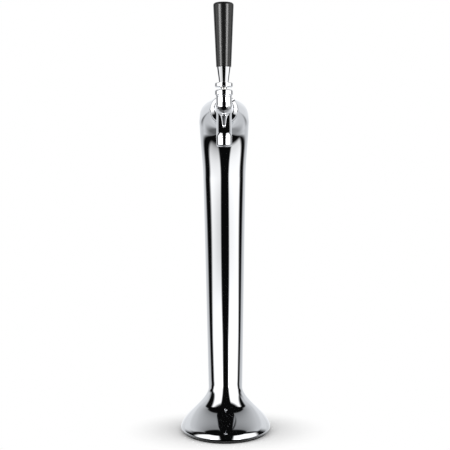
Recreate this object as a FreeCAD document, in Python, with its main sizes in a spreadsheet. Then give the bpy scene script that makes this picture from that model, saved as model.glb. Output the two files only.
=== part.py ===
import FreeCAD, Part
import math
import os
import re
import Sketcher
from FreeCAD import Placement, Rotation, Vector

# Draft beer tower with one lever faucet. Sizes in mm, +Z up, the faucet points to -Y.
# The origin is the middle of the base, on the surface that the tower stands on.

# Driving sizes. A reach is a distance forward of the origin, so it lies at y = -reach.
SIZES = {
    # Tower body
    "base_half_width": 59.0,
    "base_half_depth": 90.0,
    "base_offset": 2.0,
    "gasket_thick": 2.5,
    "rim_edge": 4.0,
    "foot_start": 9.5,
    "foot_height": 35.0,
    "skirt_height": 61.0,
    "skirt_depth": 20.0,
    "waist_height": 56.0,
    "waist_half_width": 22.2,
    "waist_half_depth": 29.0,
    "column_taper": 0.0205,
    "column_lean": 16.0,
    "lean_height": 230.0,
    "swell_start": 120.0,
    "neck_height": 330.0,
    "neck_half_depth": 37.0,
    "head_swell": 2.9,
    "head_wide_height": 404.0,
    "head_square_ratio": 3.55,
    "nose_reach": 50.0,
    "nose_radius": 18.0,
    "axis_height": 415.0,
    "tower_wall": 4.0,
    # Base fixing
    "insert_inset_wide": 26.0,
    "insert_inset_deep": 42.0,
    "insert_radius": 4.0,
    "insert_length": 12.0,
    "insert_thread_radius": 3.0,
    "boss_radius": 8.0,
    "boss_height": 20.0,
    "gasket_inset": 0.6,
    "gasket_band": 24.0,
    "screw_hole_radius": 4.5,
    # Shank, its flange and the grub screw that holds it
    "shank_radius": 9.5,
    "shank_bore_radius": 2.4,
    "shank_tail_reach": 24.0,
    "shank_barb_length": 16.0,
    "barb_ridge": 0.25,
    "barb_count": 3.0,
    "flange_radius": 16.5,
    "flange_thick": 3.0,
    "collar_thread_radius": 14.2,
    "collar_length": 9.0,
    "mouth_radius": 6.5,
    "mouth_depth": 6.0,
    "grub_radius": 3.0,
    "grub_length": 6.5,
    "grub_reach": 44.0,
    "grub_socket": 3.0,
    # Coupling between shank and faucet
    "coupling_seal_thick": 1.2,
    "coupling_seal_bore": 8.2,
    "nut_radius": 17.6,
    "nut_rear_gap": 1.2,
    "nut_lip": 3.5,
    "nut_lip_bore": 12.0,
    "nut_rim": 0.8,
    "nut_slope": 2.9,
    "nut_edge": 0.8,
    "nut_rear_chamfer": 0.8,
    "spanner_hole_radius": 2.0,
    "spanner_hole_depth": 2.6,
    "spanner_hole_back": 3.0,
    # Faucet body
    "faucet_flange_radius": 13.6,
    "faucet_flange_thick": 3.8,
    "barrel_rear_radius": 11.6,
    "barrel_rear_length": 11.0,
    "barrel_cone_length": 14.0,
    "barrel_radius": 9.4,
    "faucet_length": 46.0,
    "spout_setback": 0.0,
    "spout_drop": 48.0,
    "outlet_length": 12.0,
    "spout_bore_radius": 6.8,
    "spout_edge": 2.4,
    "branch_bore_radius": 5.0,
    "chimney_radius": 9.4,
    "chimney_thread_radius": 8.5,
    "neck_over_ball": 0.3,
    "chimney_thread_length": 3.7,
    "chimney_bore_radius": 6.8,
    "lever_well_radius": 5.0,
    # Valve
    "seat_depth": 8.8,
    "branch_from_seat": 8.0,
    "seat_chamber_radius": 8.0,
    "seat_bore_radius": 5.6,
    "seat_washer_radius": 7.2,
    "seat_washer_thick": 2.5,
    "seat_nut_radius": 4.5,
    "seat_nut_length": 3.0,
    "shaft_radius": 3.1,
    "shaft_thread_radius": 2.0,
    "shaft_head_radius": 3.9,
    "shaft_head_wall": 1.5,
    "shaft_travel": 3.52,
    "ring_groove_depth": 1.25,
    "ring_section_radius": 0.6,
    "ring_inset": 1.6,
    # Lever and what holds its ball
    "ball_rise": 12.0,
    "ball_radius": 6.3,
    "tip_radius": 2.4,
    "tip_stem_radius": 1.5,
    "lever_neck_radius": 3.4,
    "lever_thread_radius": 4.7,
    "lever_thread_length": 15.5,
    "washer_over_ball": 1.0,
    "friction_ring_thick": 1.5,
    "friction_ring_radius": 8.3,
    "friction_ring_bore": 5.6,
    "bonnet_radius": 10.9,
    "bonnet_foot_radius": 9.7,
    "bonnet_foot_length": 2.0,
    "bonnet_top_thick": 3.0,
    "bonnet_hole_radius": 6.6,
    "bonnet_edge": 1.8,
    # Handle
    "collar_gap": 2.8,
    "lever_collar_radius": 10.9,
    "lever_collar_length": 5.5,
    "lever_collar_chamfer": 1.2,
    "lever_collar_edge": 1.0,
    "ferrule_length": 19.2,
    "ferrule_foot_radius": 5.7,
    "ferrule_top_radius": 8.4,
    "ferrule_edge": 0.9,
    "handle_length": 77.0,
    "handle_foot_radius": 9.1,
    "handle_top_radius": 12.5,
    "handle_edge": 3.0,
    "handle_hole_depth": 21.0,
    "stud_radius": 3.2,
    "stud_length": 27.0,
    # Beer line inside the tower
    "line_radius": 4.75,
    "line_bore_radius": 3.15,
    "line_back": 34.0,
    "line_bend_radius": 36.0,
    "line_base_bend_radius": 200.0,
    "line_base_back": 9.0,
    "line_turn_height": 70.0,
    "line_end_height": 40.0,
    "clamp_wall": 1.0,
    "clamp_width": 6.0,
    "clamp_ear": 4.0,
    "clamp_inset": 5.0,
    "foam_over_skirt": 1.0,
    "foam_gap": 0.4,
    # Fitting at the lower end of the line
    "tail_stem_radius": 4.0,
    "tail_flange_radius": 8.6,
    "tail_flange_thick": 3.0,
    "tail_flange_height": 20.0,
    "tail_seal_thick": 2.0,
    "swivel_across_flats": 28.0,
    "swivel_thread_radius": 10.5,
    "swivel_top_thick": 4.0,
    "swivel_length": 15.0,
    # Named clearances
    "running_gap": 0.05,
    "fit_gap": 0.1,
    "slot_gap": 0.35,
}

SECTION_POINTS = 28
RIM_STATIONS = 5
FLARE_STATIONS = 14
COLUMN_STATIONS = 9
HEAD_STATIONS = 16
FOAM_STATIONS = 14
INNER_END = 0.9
WIDE_END = 0.55
NARROW_POWER = 1.6
SQUARE_FULL = 0.5
ROUND = 2.0
FRONT_RISE = 0.5
FRONT_RUN = 0.28
BACK_RISE = 1.24
BACK_RUN = 1.03
POLE_SPREAD = 3.0 / (2.0 + math.cos(2 * math.pi / SECTION_POINTS))
FORWARD = Rotation(Vector(1, 0, 0), 90)
UPRIGHT = Rotation()

doc = FreeCAD.newDocument("beer_tower")
sheet = doc.addObject("Spreadsheet::Sheet", "Sizes")
for row, (alias, number) in enumerate(SIZES.items(), start=1):
    sheet.set("A%d" % row, alias)
    sheet.set("B%d" % row, str(number))
    sheet.setAlias("B%d" % row, alias)
doc.recompute()


def size(alias):
    """Returns one driving size from the sheet."""
    return float(sheet.get(alias))


def bound(text):
    """Writes an expression with each size in it read from the sheet."""
    def from_sheet(match):
        word = match.group(0)
        return "Sizes." + word if word in SIZES else word
    return re.sub(r"[a-z][a-z_]*", from_sheet, text)


def place(item, x="0", y="0", z="0", rotation=UPRIGHT):
    """Places an object by expressions for its three coordinates."""
    item.Placement = Placement(Vector(0, 0, 0), rotation)
    for axis, text in zip("xyz", (x, y, z)):
        item.setExpression(".Placement.Base." + axis, bound(text))
    return item


def origin_plane(body, role):
    """Returns one of a body's own origin planes."""
    return [plane for plane in body.Origin.OriginFeatures if plane.Role == role][0]


def outline_sketch(body, name, role, outline):
    """Draws a closed outline of straight lines whose corners are bound to the sheet."""
    sketch = body.newObject("Sketcher::SketchObject", name)
    sketch.AttachmentSupport = (origin_plane(body, role), [""])
    sketch.MapMode = "FlatFace"
    corners = len(outline)
    ring = [Vector(math.cos(2 * math.pi * turn / corners), math.sin(2 * math.pi * turn / corners), 0)
            for turn in range(corners)]
    for corner in range(corners):
        sketch.addGeometry(Part.LineSegment(ring[corner], ring[(corner + 1) % corners]), False)
    for corner in range(corners):
        sketch.addConstraint(Sketcher.Constraint("Coincident", corner, 2, (corner + 1) % corners, 1))
    for corner, (across, along) in enumerate(outline):
        spot = ring[corner]
        for kind, text, start in (("DistanceX", across, spot.x), ("DistanceY", along, spot.y)):
            index = sketch.addConstraint(Sketcher.Constraint(kind, -1, 1, corner, 1, start))
            sketch.setExpression("Constraints[%d]" % index, bound(text))
    return sketch


def ring_edges(shape, radius, height):
    """Names the circular edges of one radius at one height along the turning axis."""
    names = []
    for number, edge in enumerate(shape.Edges, start=1):
        curve = edge.Curve
        if isinstance(curve, Part.Circle):
            same_radius = abs(curve.Radius - radius) < 0.001
            if same_radius and abs(curve.Center.z - height) < 0.001:
                names.append("Edge%d" % number)
    return names


def soften(body, base, sketch, corners, kind, text):
    """Rounds or chamfers the turned edges at some corners of an outline."""
    names = []
    for corner in corners:
        point = sketch.Geometry[corner].StartPoint
        names += ring_edges(base.Shape, abs(point.x), point.y)
    feature = body.newObject("PartDesign::" + kind, kind.lower())
    feature.Base = (base, names)
    feature.setExpression("Radius" if kind == "Fillet" else "Size", bound(text))
    doc.recompute()
    return feature


def turned(label, outline, rounds=(), chamfers=()):
    """Turns an outline of (radius, height) corners about the body's own Z axis."""
    body = doc.addObject("PartDesign::Body", label)
    body.Label = label
    sketch = outline_sketch(body, label + "_outline", "XZ_Plane", outline)
    feature = body.newObject("PartDesign::Revolution", "turning")
    feature.Profile = sketch
    feature.ReferenceAxis = (sketch, ["V_Axis"])
    feature.Angle = 360
    doc.recompute()
    for corners, text in rounds:
        feature = soften(body, feature, sketch, corners, "Fillet", text)
    for corners, text in chamfers:
        feature = soften(body, feature, sketch, corners, "Chamfer", text)
    return body


def cylinder(name, radius, height, rotation=UPRIGHT, x="0", y="0", z="0"):
    """Makes a cylinder from expressions for its sizes and its foot."""
    item = doc.addObject("Part::Cylinder", name)
    item.setExpression("Radius", bound(radius))
    item.setExpression("Height", bound(height))
    return place(item, x, y, z, rotation)


def sphere(name, radius, x="0", y="0", z="0"):
    """Makes a sphere from expressions for its radius and centre."""
    item = doc.addObject("Part::Sphere", name)
    item.setExpression("Radius", bound(radius))
    return place(item, x, y, z)


def block(name, length, width, height, x="0", y="0", z="0"):
    """Makes a box that is centred in X and Y on its place and stands on it."""
    item = doc.addObject("Part::Box", name)
    item.setExpression("Length", bound(length))
    item.setExpression("Width", bound(width))
    item.setExpression("Height", bound(height))
    return place(item, "%s - (%s) / 2" % (x, length), "%s - (%s) / 2" % (y, width), z)


def joined(label, items):
    """Fuses several objects into one."""
    item = doc.addObject("Part::MultiFuse", label)
    item.Label = label
    item.Shapes = items
    item.Refine = True
    return item


def pierced(label, base, tools):
    """Cuts several objects out of one, one after another."""
    item = base
    for tool in tools:
        cut = doc.addObject("Part::Cut", label + "_cut")
        cut.Base = item
        cut.Tool = tool
        cut.Refine = True
        item = cut
    item.Label = label
    return item


def held(label, shape):
    """Keeps a shape that was made with the geometry functions as a document object."""
    item = doc.addObject("Part::Feature", label)
    item.Label = label
    item.Shape = shape
    item.Placement = Placement()
    return item


def ease(part):
    """Rises smoothly from 0 to 1 as its argument does."""
    clear = min(max(part, 0.0), 1.0)
    return clear * clear * (3.0 - 2.0 * clear)


# Tower body: level ovals up the column, then ovals that tilt forward into the nose

def flare(height, start, top):
    """Share of a spread of the base that is left at one height, for a spread that dies out over a span."""
    return 1.0 - ease((height - start) / (top - start))


def column_middle(height):
    """Y of the column's middle, which leans back and comes forward again."""
    lean = math.sin(math.pi / 2 * height / size("lean_height"))
    return size("base_offset") + size("column_lean") * lean


def column_depth(height):
    """Half of the column's depth: a steep foot over an upright rim, under a longer skirt."""
    foot = size("base_half_depth") - size("waist_half_depth") - size("skirt_depth")
    spread = foot * flare(height, size("foot_start"), size("foot_height"))
    spread += size("skirt_depth") * flare(height, size("gasket_thick"), size("skirt_height"))
    rise = (height - size("swell_start")) / (size("neck_height") - size("swell_start"))
    swell = (size("neck_half_depth") - size("waist_half_depth")) * ease(rise)
    return size("waist_half_depth") + spread + swell


def body_width(height):
    """Half of the body's width."""
    spread = size("base_half_width") - size("waist_half_width")
    spread *= flare(height, size("gasket_thick"), size("waist_height"))
    taper = size("column_taper") * max(height - size("waist_height"), 0.0)
    swell = (height - size("neck_height")) / (size("head_wide_height") - size("neck_height"))
    return size("waist_half_width") + spread + taper + size("head_swell") * ease(swell)


def bezier(points, along):
    """Point on a cubic curve, as a vector in the YZ plane."""
    back = 1.0 - along
    weights = (back ** 3, 3 * back ** 2 * along, 3 * back * along ** 2, along ** 3)
    total = Vector(0, 0, 0)
    for weight, point in zip(weights, points):
        total += point * weight
    return total


def side_curve(side, end_height, rise, run):
    """Cubic from the neck to the nose, on the front (-1) or the back (+1) of the head."""
    neck = size("neck_height")
    step = 1.0
    start = Vector(0, column_middle(neck) + side * column_depth(neck), neck)
    below = Vector(0, column_middle(neck - step) + side * column_depth(neck - step), neck - step)
    nose = Vector(0, -size("nose_reach"), end_height)
    return (start, start + (start - below) * rise, nose + Vector(0, run, 0), nose)


class Oval:
    """One section of the body: two ends in the YZ plane, a half width and how square its back is."""

    def __init__(self, front, back, half_width, squareness):
        self.middle = (front + back) * 0.5
        self.half_depth = (back - front) * 0.5
        self.half_width = half_width
        self.squareness = squareness

    def ring(self, inset):
        """Points round the section, drawn in by an inset."""
        deep = self.half_depth * ((self.half_depth.Length - inset) / self.half_depth.Length)
        wide = Vector(self.half_width - inset, 0, 0)
        points = []
        for number in range(SECTION_POINTS):
            angle = 2 * math.pi * number / SECTION_POINTS
            along = math.cos(angle)
            across = math.sin(angle)
            power = self.squareness if across > 0.0 else ROUND
            radius = POLE_SPREAD * (abs(along) ** power + abs(across) ** power) ** (-1.0 / power)
            points.append(self.middle + deep * (radius * across) + wide * (radius * along))
        return points

    def trimmed(self, inset):
        """The same section with both half sizes less by an inset."""
        shorter = self.half_depth * ((self.half_depth.Length - inset) / self.half_depth.Length)
        return Oval(self.middle - shorter, self.middle + shorter, self.half_width - inset, self.squareness)

    def wire(self, inset):
        """Closed curve of the section, drawn in by an inset."""
        curve = Part.BSplineCurve()
        curve.buildFromPolesMultsKnots(self.ring(inset), [1] * (SECTION_POINTS + 1),
                                       list(range(SECTION_POINTS + 1)), True, 3)
        return Part.Wire(curve.toShape())


def level_oval(height):
    """Section of the base or the column at one height."""
    middle = column_middle(height)
    depth = column_depth(height)
    front = Vector(0, middle - depth, height)
    back = Vector(0, middle + depth, height)
    return Oval(front, back, body_width(height), ROUND)


def head_oval(along):
    """Section of the head, from the neck at 0 to the face of the nose at 1."""
    axis = size("axis_height")
    radius = size("nose_radius")
    length = axis - size("neck_height")
    front = bezier(side_curve(-1, axis - radius, FRONT_RISE * length, FRONT_RUN * length), along)
    back = bezier(side_curve(1, axis + radius, BACK_RISE * length, BACK_RUN * length), along)
    narrow = max((along - WIDE_END) / (1.0 - WIDE_END), 0.0) ** NARROW_POWER
    wide = body_width((front.z + back.z) / 2)
    half_width = wide + (radius - wide) * narrow
    squareness = ROUND + (size("head_square_ratio") - ROUND) * ease(along / SQUARE_FULL) * (1.0 - narrow)
    return Oval(front, back, half_width, squareness)


def heights(start, end, count):
    """Evenly spaced heights, with both ends."""
    return [start + (end - start) * number / count for number in range(count + 1)]


def rim_ovals():
    """Sections up the rounded lower edge of the base."""
    edge = size("rim_edge")
    ovals = []
    for station in range(RIM_STATIONS):
        angle = math.pi / 2 * station / RIM_STATIONS
        height = size("gasket_thick") + edge * (1.0 - math.cos(angle))
        ovals.append(level_oval(height).trimmed(edge * (1.0 - math.sin(angle))))
    return ovals


def body_ovals(head_end):
    """Sections from above the base's rounded edge to some way along the head."""
    flare_part = heights(size("gasket_thick") + size("rim_edge"), size("skirt_height"), FLARE_STATIONS)
    column_part = heights(size("skirt_height"), size("neck_height"), COLUMN_STATIONS)
    ovals = [level_oval(height) for height in flare_part + column_part[1:]]
    head_part = heights(0.0, head_end, HEAD_STATIONS)
    return ovals + [head_oval(along) for along in head_part[1:]]


def skinned(ovals, inset):
    """Solid whose side is one smooth surface over a row of sections, with a flat face at each end."""
    rows = len(ovals)
    poles = [oval.ring(inset) for oval in ovals]
    side = Part.BSplineSurface()
    side.buildFromPolesMultsKnots(poles, [4] + [1] * (rows - 4) + [4], [1] * (SECTION_POINTS + 1),
                                  list(range(rows - 2)), list(range(SECTION_POINTS + 1)), False, True, 3, 3)
    skin = side.toShape()
    ends = [Part.Face(Part.Wire(edge)) for edge in skin.Edges if edge.Curve.isPeriodic()]
    closed = Part.makeShell([skin] + ends)
    closed.sewShape()
    return Part.makeSolid(closed)


def insert_places():
    """The four fixing places under the base, a set distance in from its rim."""
    oval = level_oval(size("gasket_thick"))
    half_wide = oval.half_width - size("insert_inset_wide")
    half_deep = oval.half_depth.Length - size("insert_inset_deep")
    middle = oval.middle.y
    return [Vector(side * half_wide, middle + end * half_deep, 0) for side in (-1, 1) for end in (-1, 1)]


def tower_shell():
    """Hollow body with bosses for the base inserts and a bored nose."""
    outer = skinned(rim_ovals() + body_ovals(1.0), 0.0)
    inner = skinned([level_oval(0.0)] + body_ovals(INNER_END), size("tower_wall"))
    shell = outer.cut(inner)
    bottom = Vector(0, 0, size("gasket_thick"))
    for spot in insert_places():
        boss = Part.makeCylinder(size("boss_radius"), size("boss_height"), spot + bottom)
        shell = shell.fuse(boss.common(outer))
    holes = [Part.makeCylinder(size("insert_radius"), size("insert_length"), spot + bottom)
             for spot in insert_places()]
    bore_start = Vector(0, -size("nose_reach") * 1.2, size("axis_height"))
    bore_radius = size("shank_radius") + size("fit_gap")
    holes.append(Part.makeCylinder(bore_radius, size("nose_reach"), bore_start, Vector(0, 1, 0)))
    grub_foot = Vector(0, -size("grub_reach"), size("axis_height") - size("nose_radius") * 2)
    grub_hole = size("grub_radius") + size("running_gap")
    holes.append(Part.makeCylinder(grub_hole, size("nose_radius") * 2, grub_foot))
    return held("tower_shell", shell.cut(holes))


def base_gasket():
    """Rubber oval under the base, with a hole for each fixing screw."""
    oval = level_oval(size("gasket_thick"))
    outline = oval.trimmed(size("rim_edge")).wire(size("gasket_inset"))
    opening = oval.wire(size("gasket_band"))
    thick = size("gasket_thick")
    down = Vector(0, 0, -thick)
    band = Part.Face(outline).extrude(down).cut(Part.Face(opening).extrude(down))
    holes = [Part.makeCylinder(size("screw_hole_radius"), thick, spot) for spot in insert_places()]
    return held("base_gasket", band.cut(holes))


def base_inserts():
    """Four threaded brass inserts in the bosses."""
    bottom = Vector(0, 0, size("gasket_thick"))
    solids = []
    for spot in insert_places():
        sleeve = Part.makeCylinder(size("insert_radius"), size("insert_length"), spot + bottom)
        thread = Part.makeCylinder(size("insert_thread_radius"), size("insert_length"), spot + bottom)
        solids.append(sleeve.cut(thread))
    return held("base_inserts", Part.makeCompound(solids))


# Beer line: straight runs joined by tangent arcs, inside foam

def line_corners():
    """Corners of the line's route, from the shank's tail to the fitting in the base."""
    axis = size("axis_height")
    return [
        Vector(0, -size("shank_tail_reach"), axis),
        Vector(0, size("line_back"), axis),
        Vector(0, size("line_base_back"), size("line_turn_height")),
        Vector(0, size("line_base_back"), size("line_end_height")),
    ]


def line_route():
    """Path of the line, its bends tangent to its runs."""
    corners = line_corners()
    edges = []
    last = corners[0]
    for number, radius in ((1, size("line_bend_radius")), (2, size("line_base_bend_radius"))):
        corner = corners[number]
        before = (corners[number - 1] - corner).normalize()
        after = (corners[number + 1] - corner).normalize()
        half_turn = (math.pi - before.getAngle(after)) / 2
        reach = radius * math.tan(half_turn)
        inward = (before + after).normalize()
        centre = corner + inward * (radius / math.cos(half_turn))
        start = corner + before * reach
        end = corner + after * reach
        edges.append(Part.LineSegment(last, start).toShape())
        edges.append(Part.Arc(start, centre - inward * radius, end).toShape())
        last = end
    edges.append(Part.LineSegment(last, corners[-1]).toShape())
    return Part.Wire(edges)


def line_core(radius):
    """Solid of one radius along the whole route."""
    start = line_corners()[0]
    ring = Part.Wire(Part.makeCircle(radius, start, Vector(0, 1, 0)))
    return line_route().makePipeShell([ring], True, False)


def beer_line():
    """Flexible line from the shank's barb to the fitting in the base."""
    tube = line_core(size("line_radius")).cut(line_core(size("line_bore_radius")))
    section = math.pi * (size("line_radius") ** 2 - size("line_bore_radius") ** 2)
    print("line volume over section times length: %.5f" % (tube.Volume / (section * line_route().Length)))
    return held("beer_line", tube)


def foam_insulation():
    """Foam that fills the column around the line."""
    levels = heights(size("skirt_height") + size("foam_over_skirt"), size("neck_height"), FOAM_STATIONS)
    filling = skinned([level_oval(height) for height in levels], size("tower_wall") + size("foam_gap"))
    return held("foam_insulation", filling.cut(line_core(size("line_radius") + size("fit_gap"))))


def ear_clamp(middle, axis, side):
    """Band with one ear, round the line."""
    length = size("clamp_width")
    foot = middle - axis * (length / 2)
    inside = size("line_radius") + size("running_gap")
    outside = inside + size("clamp_wall")
    ear = size("clamp_ear")
    band = Part.makeCylinder(outside, length, foot, axis)
    lug = Part.makeBox(ear, ear, ear, Vector(-ear / 2, -ear / 2, outside - size("clamp_wall") / 2 - ear / 2))
    lug.Placement = Placement(middle, Rotation(Vector(0, 0, 1), side))
    return band.fuse(lug).cut(Part.makeCylinder(inside, length, foot, axis))


def line_clamps():
    """Clamps over the two barbs."""
    shank_end = Vector(0, -size("shank_tail_reach") + size("clamp_inset") + size("clamp_width") / 2,
                       size("axis_height"))
    base_end = Vector(0, size("line_base_back"),
                      size("line_end_height") + size("clamp_inset") + size("clamp_width") / 2)
    upper = ear_clamp(shank_end, Vector(0, 1, 0), Vector(0, 0, -1))
    lower = ear_clamp(base_end, Vector(0, 0, 1), Vector(0, 1, 0))
    return held("line_clamps", Part.makeCompound([upper, lower]))


def barb_outline(end, direction, length):
    """Corners of a barbed spigot, from its root to its mouth, for a turned outline."""
    ridges = int(size("barb_count"))
    corners = []
    for ridge in range(ridges):
        peak = "%s %s %s * %d / %d" % (end, direction, length, ridge, ridges)
        foot = "%s %s %s * %d / %d" % (end, direction, length, ridge + 1, ridges)
        corners.append(("line_bore_radius - running_gap", peak))
        corners.append(("line_bore_radius - running_gap - barb_ridge", foot))
    return corners


def line_tail():
    """Barbed tail piece in the line's lower end, with a flange for the swivel nut."""
    foot = "tail_flange_height"
    top = "(line_end_height - running_gap)"
    barb = barb_outline(top, "+", "shank_barb_length")
    outline = [("shank_bore_radius", foot), ("tail_flange_radius", foot),
               ("tail_flange_radius", foot + " + tail_flange_thick"),
               ("tail_stem_radius", foot + " + tail_flange_thick"), ("tail_stem_radius", top)]
    outline += barb
    outline.append(("shank_bore_radius", top + " + shank_barb_length"))
    return place(turned("line_tail", outline), y="line_base_back")


def tail_seal():
    """Rubber washer under the tail piece's flange."""
    outline = [("shank_bore_radius", "0"), ("tail_flange_radius", "0"),
               ("tail_flange_radius", "tail_seal_thick"), ("shank_bore_radius", "tail_seal_thick")]
    return place(turned("tail_seal", outline), y="line_base_back", z="tail_flange_height - tail_seal_thick")


def swivel_nut():
    """Hexagonal nut that hangs on the tail piece and takes the supply line."""
    body = doc.addObject("PartDesign::Body", "swivel_nut")
    body.Label = "swivel_nut"
    outline = []
    for corner in range(6):
        angle = 60 * corner
        outline.append(("swivel_across_flats / 2 / cos(30) * cos(%d)" % angle,
                        "swivel_across_flats / 2 / cos(30) * sin(%d)" % angle))
    hexagon = outline_sketch(body, "hexagon", "XY_Plane", outline)
    pad = body.newObject("PartDesign::Pad", "block")
    pad.Profile = hexagon
    pad.setExpression("Length", bound("swivel_length"))
    doc.recompute()
    solid = body.Shape.Volume
    thread = outline_sketch(body, "thread_outline", "XZ_Plane", [
        ("0", "0"), ("swivel_thread_radius", "0"),
        ("swivel_thread_radius", "swivel_length - swivel_top_thick"),
        ("tail_stem_radius + fit_gap", "swivel_length - swivel_top_thick"),
        ("tail_stem_radius + fit_gap", "swivel_length"), ("0", "swivel_length")])
    groove = body.newObject("PartDesign::Groove", "thread")
    groove.Profile = thread
    groove.ReferenceAxis = (thread, ["V_Axis"])
    groove.Angle = 360
    doc.recompute()
    print("swivel nut bored: %s" % (body.Shape.Volume < 0.8 * solid))
    top = "tail_flange_height + tail_flange_thick + swivel_top_thick"
    return place(body, y="line_base_back", z=top + " - swivel_length")


# Shank: all pieces from here to the faucet are turned about the shank's axis, so the
# second number of a corner is its reach and the piece is laid forward at the axis height

def on_axis(item):
    """Lays a turned piece forward along the shank's axis."""
    return place(item, z="axis_height", rotation=FORWARD)


def shank():
    """Through pipe with the coupling thread in front and the line's barb behind."""
    tail = "shank_tail_reach"
    seat = "nose_reach + flange_thick"
    face = seat + " + collar_length"
    barb = barb_outline(tail, "-", "shank_barb_length")
    outline = [("shank_bore_radius", face + " - mouth_depth"), ("mouth_radius", face + " - mouth_depth"),
               ("mouth_radius", face), ("collar_thread_radius", face), ("collar_thread_radius", seat),
               ("shank_radius", seat), ("shank_radius", tail)]
    outline += barb
    outline.append(("shank_bore_radius", tail + " - shank_barb_length"))
    return on_axis(turned("shank", outline))


def shank_flange():
    """Chrome ring between the nose and the shank's collar."""
    inside = "shank_radius + fit_gap"
    outline = [(inside, "nose_reach"), ("flange_radius", "nose_reach"),
               ("flange_radius", "nose_reach + flange_thick"), (inside, "nose_reach + flange_thick")]
    return on_axis(turned("shank_flange", outline, rounds=[([2], "flange_thick / 3")]))


def shank_grub_screw():
    """Socket screw in the underside of the nose, against the shank."""
    body = doc.addObject("PartDesign::Body", "shank_grub_screw")
    body.Label = "shank_grub_screw"
    outline = outline_sketch(body, "outline", "XZ_Plane", [
        ("0", "0"), ("grub_radius", "0"), ("grub_radius", "grub_length"), ("0", "grub_length")])
    turning = body.newObject("PartDesign::Revolution", "turning")
    turning.Profile = outline
    turning.ReferenceAxis = (outline, ["V_Axis"])
    turning.Angle = 360
    hexagon = outline_sketch(body, "socket_outline", "XY_Plane",
                             [("grub_socket / 2 / cos(30) * cos(%d)" % (60 * corner),
                               "grub_socket / 2 / cos(30) * sin(%d)" % (60 * corner)) for corner in range(6)])
    doc.recompute()
    solid = body.Shape.Volume
    socket = body.newObject("PartDesign::Pocket", "socket")
    socket.Profile = hexagon
    socket.Reversed = True
    socket.setExpression("Length", bound("grub_length / 2"))
    doc.recompute()
    print("grub screw has a socket: %s" % (body.Shape.Volume < solid - 1.0))
    return place(body, y="-grub_reach", z="axis_height - shank_radius - grub_length")


# Places along the shank's axis, each a reach
COUPLING_FACE = "(nose_reach + flange_thick + collar_length)"
FAUCET_BACK = "(%s + coupling_seal_thick)" % COUPLING_FACE
FLANGE_FRONT = "(%s + faucet_flange_thick)" % FAUCET_BACK
SEAT = "(%s + seat_depth)" % FAUCET_BACK
BRANCH = "(%s + branch_from_seat)" % SEAT
LEVER = "(%s + faucet_length)" % COUPLING_FACE
SPOUT = "(%s - spout_setback)" % LEVER
SHAFT_HEAD_BACK = "(%s - tip_radius - slot_gap - shaft_head_wall)" % LEVER
GUIDE_FRONT = "(%s - shaft_travel - slot_gap)" % SHAFT_HEAD_BACK
RING = "(%s - ring_inset)" % GUIDE_FRONT

# Places up the lever's axis, each a height
BALL = "(axis_height + ball_rise)"
CHIMNEY_NECK = "(%s + neck_over_ball)" % BALL
CHIMNEY_TOP = "(%s + chimney_thread_length)" % CHIMNEY_NECK
BONNET_UNDER = "(%s + friction_ring_thick)" % CHIMNEY_TOP
BONNET_TOP = "(%s + bonnet_top_thick)" % BONNET_UNDER
COLLAR_FOOT = "(%s + collar_gap)" % BONNET_TOP
FERRULE_FOOT = "(%s + lever_collar_length)" % COLLAR_FOOT
LEVER_TOP = "(%s + lever_thread_length)" % COLLAR_FOOT
HANDLE_FOOT = "(%s + ferrule_length)" % FERRULE_FOOT


def coupling_seal():
    """Washer between the shank and the faucet."""
    outline = [("coupling_seal_bore", COUPLING_FACE), ("faucet_flange_radius", COUPLING_FACE),
               ("faucet_flange_radius", FAUCET_BACK), ("coupling_seal_bore", FAUCET_BACK)]
    return on_axis(turned("coupling_seal", outline))


def coupling_nut():
    """Ring nut that draws the faucet onto the shank, with a spanner hole in its sloped rim."""
    rear = "nose_reach + flange_thick + nut_rear_gap"
    front = FLANGE_FRONT + " + nut_lip"
    thread = "collar_thread_radius + running_gap"
    outline = [(thread, rear), ("nut_radius", rear), ("nut_radius", front + " - nut_slope"),
               ("nut_lip_bore + nut_rim", front), ("nut_lip_bore", front),
               ("nut_lip_bore", FLANGE_FRONT), (thread, FLANGE_FRONT)]
    blank = on_axis(turned("coupling_nut_blank", outline, rounds=[([2], "nut_edge")],
                           chamfers=[([1], "nut_rear_chamfer")]))
    hole_floor = "(nut_radius - spanner_hole_depth) * cos(45)"
    drill = cylinder("spanner_drill", "spanner_hole_radius", "spanner_hole_depth * 2",
                     Rotation(Vector(0, 0, 1), Vector(1, 0, 1)),
                     hole_floor, "-(%s - spanner_hole_back)" % front, "axis_height + " + hole_floor)
    return pierced("coupling_nut", blank, [drill])


# Faucet body: barrel, dome, lever chimney and a spout that slants forward to an upright outlet

SPOUT_END = "(axis_height - spout_drop)"
ELBOW = "(%s + outlet_length)" % SPOUT_END
BRANCH_RUN = "(%s - %s)" % (SPOUT, BRANCH)
BRANCH_DROP = "(spout_drop - outlet_length)"


def slanted(name, radius):
    """Makes a cylinder from the barrel's axis down to the elbow of the spout."""
    item = cylinder(name, radius, "sqrt(%s ^ 2 + %s ^ 2)" % (BRANCH_RUN, BRANCH_DROP),
                    Rotation(Vector(1, 0, 0), 90), y="-" + BRANCH, z="axis_height")
    angle = "90 deg + atan(%s / %s)" % (BRANCH_DROP, BRANCH_RUN)
    item.setExpression(".Placement.Rotation.Angle", bound(angle))
    return item


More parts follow.
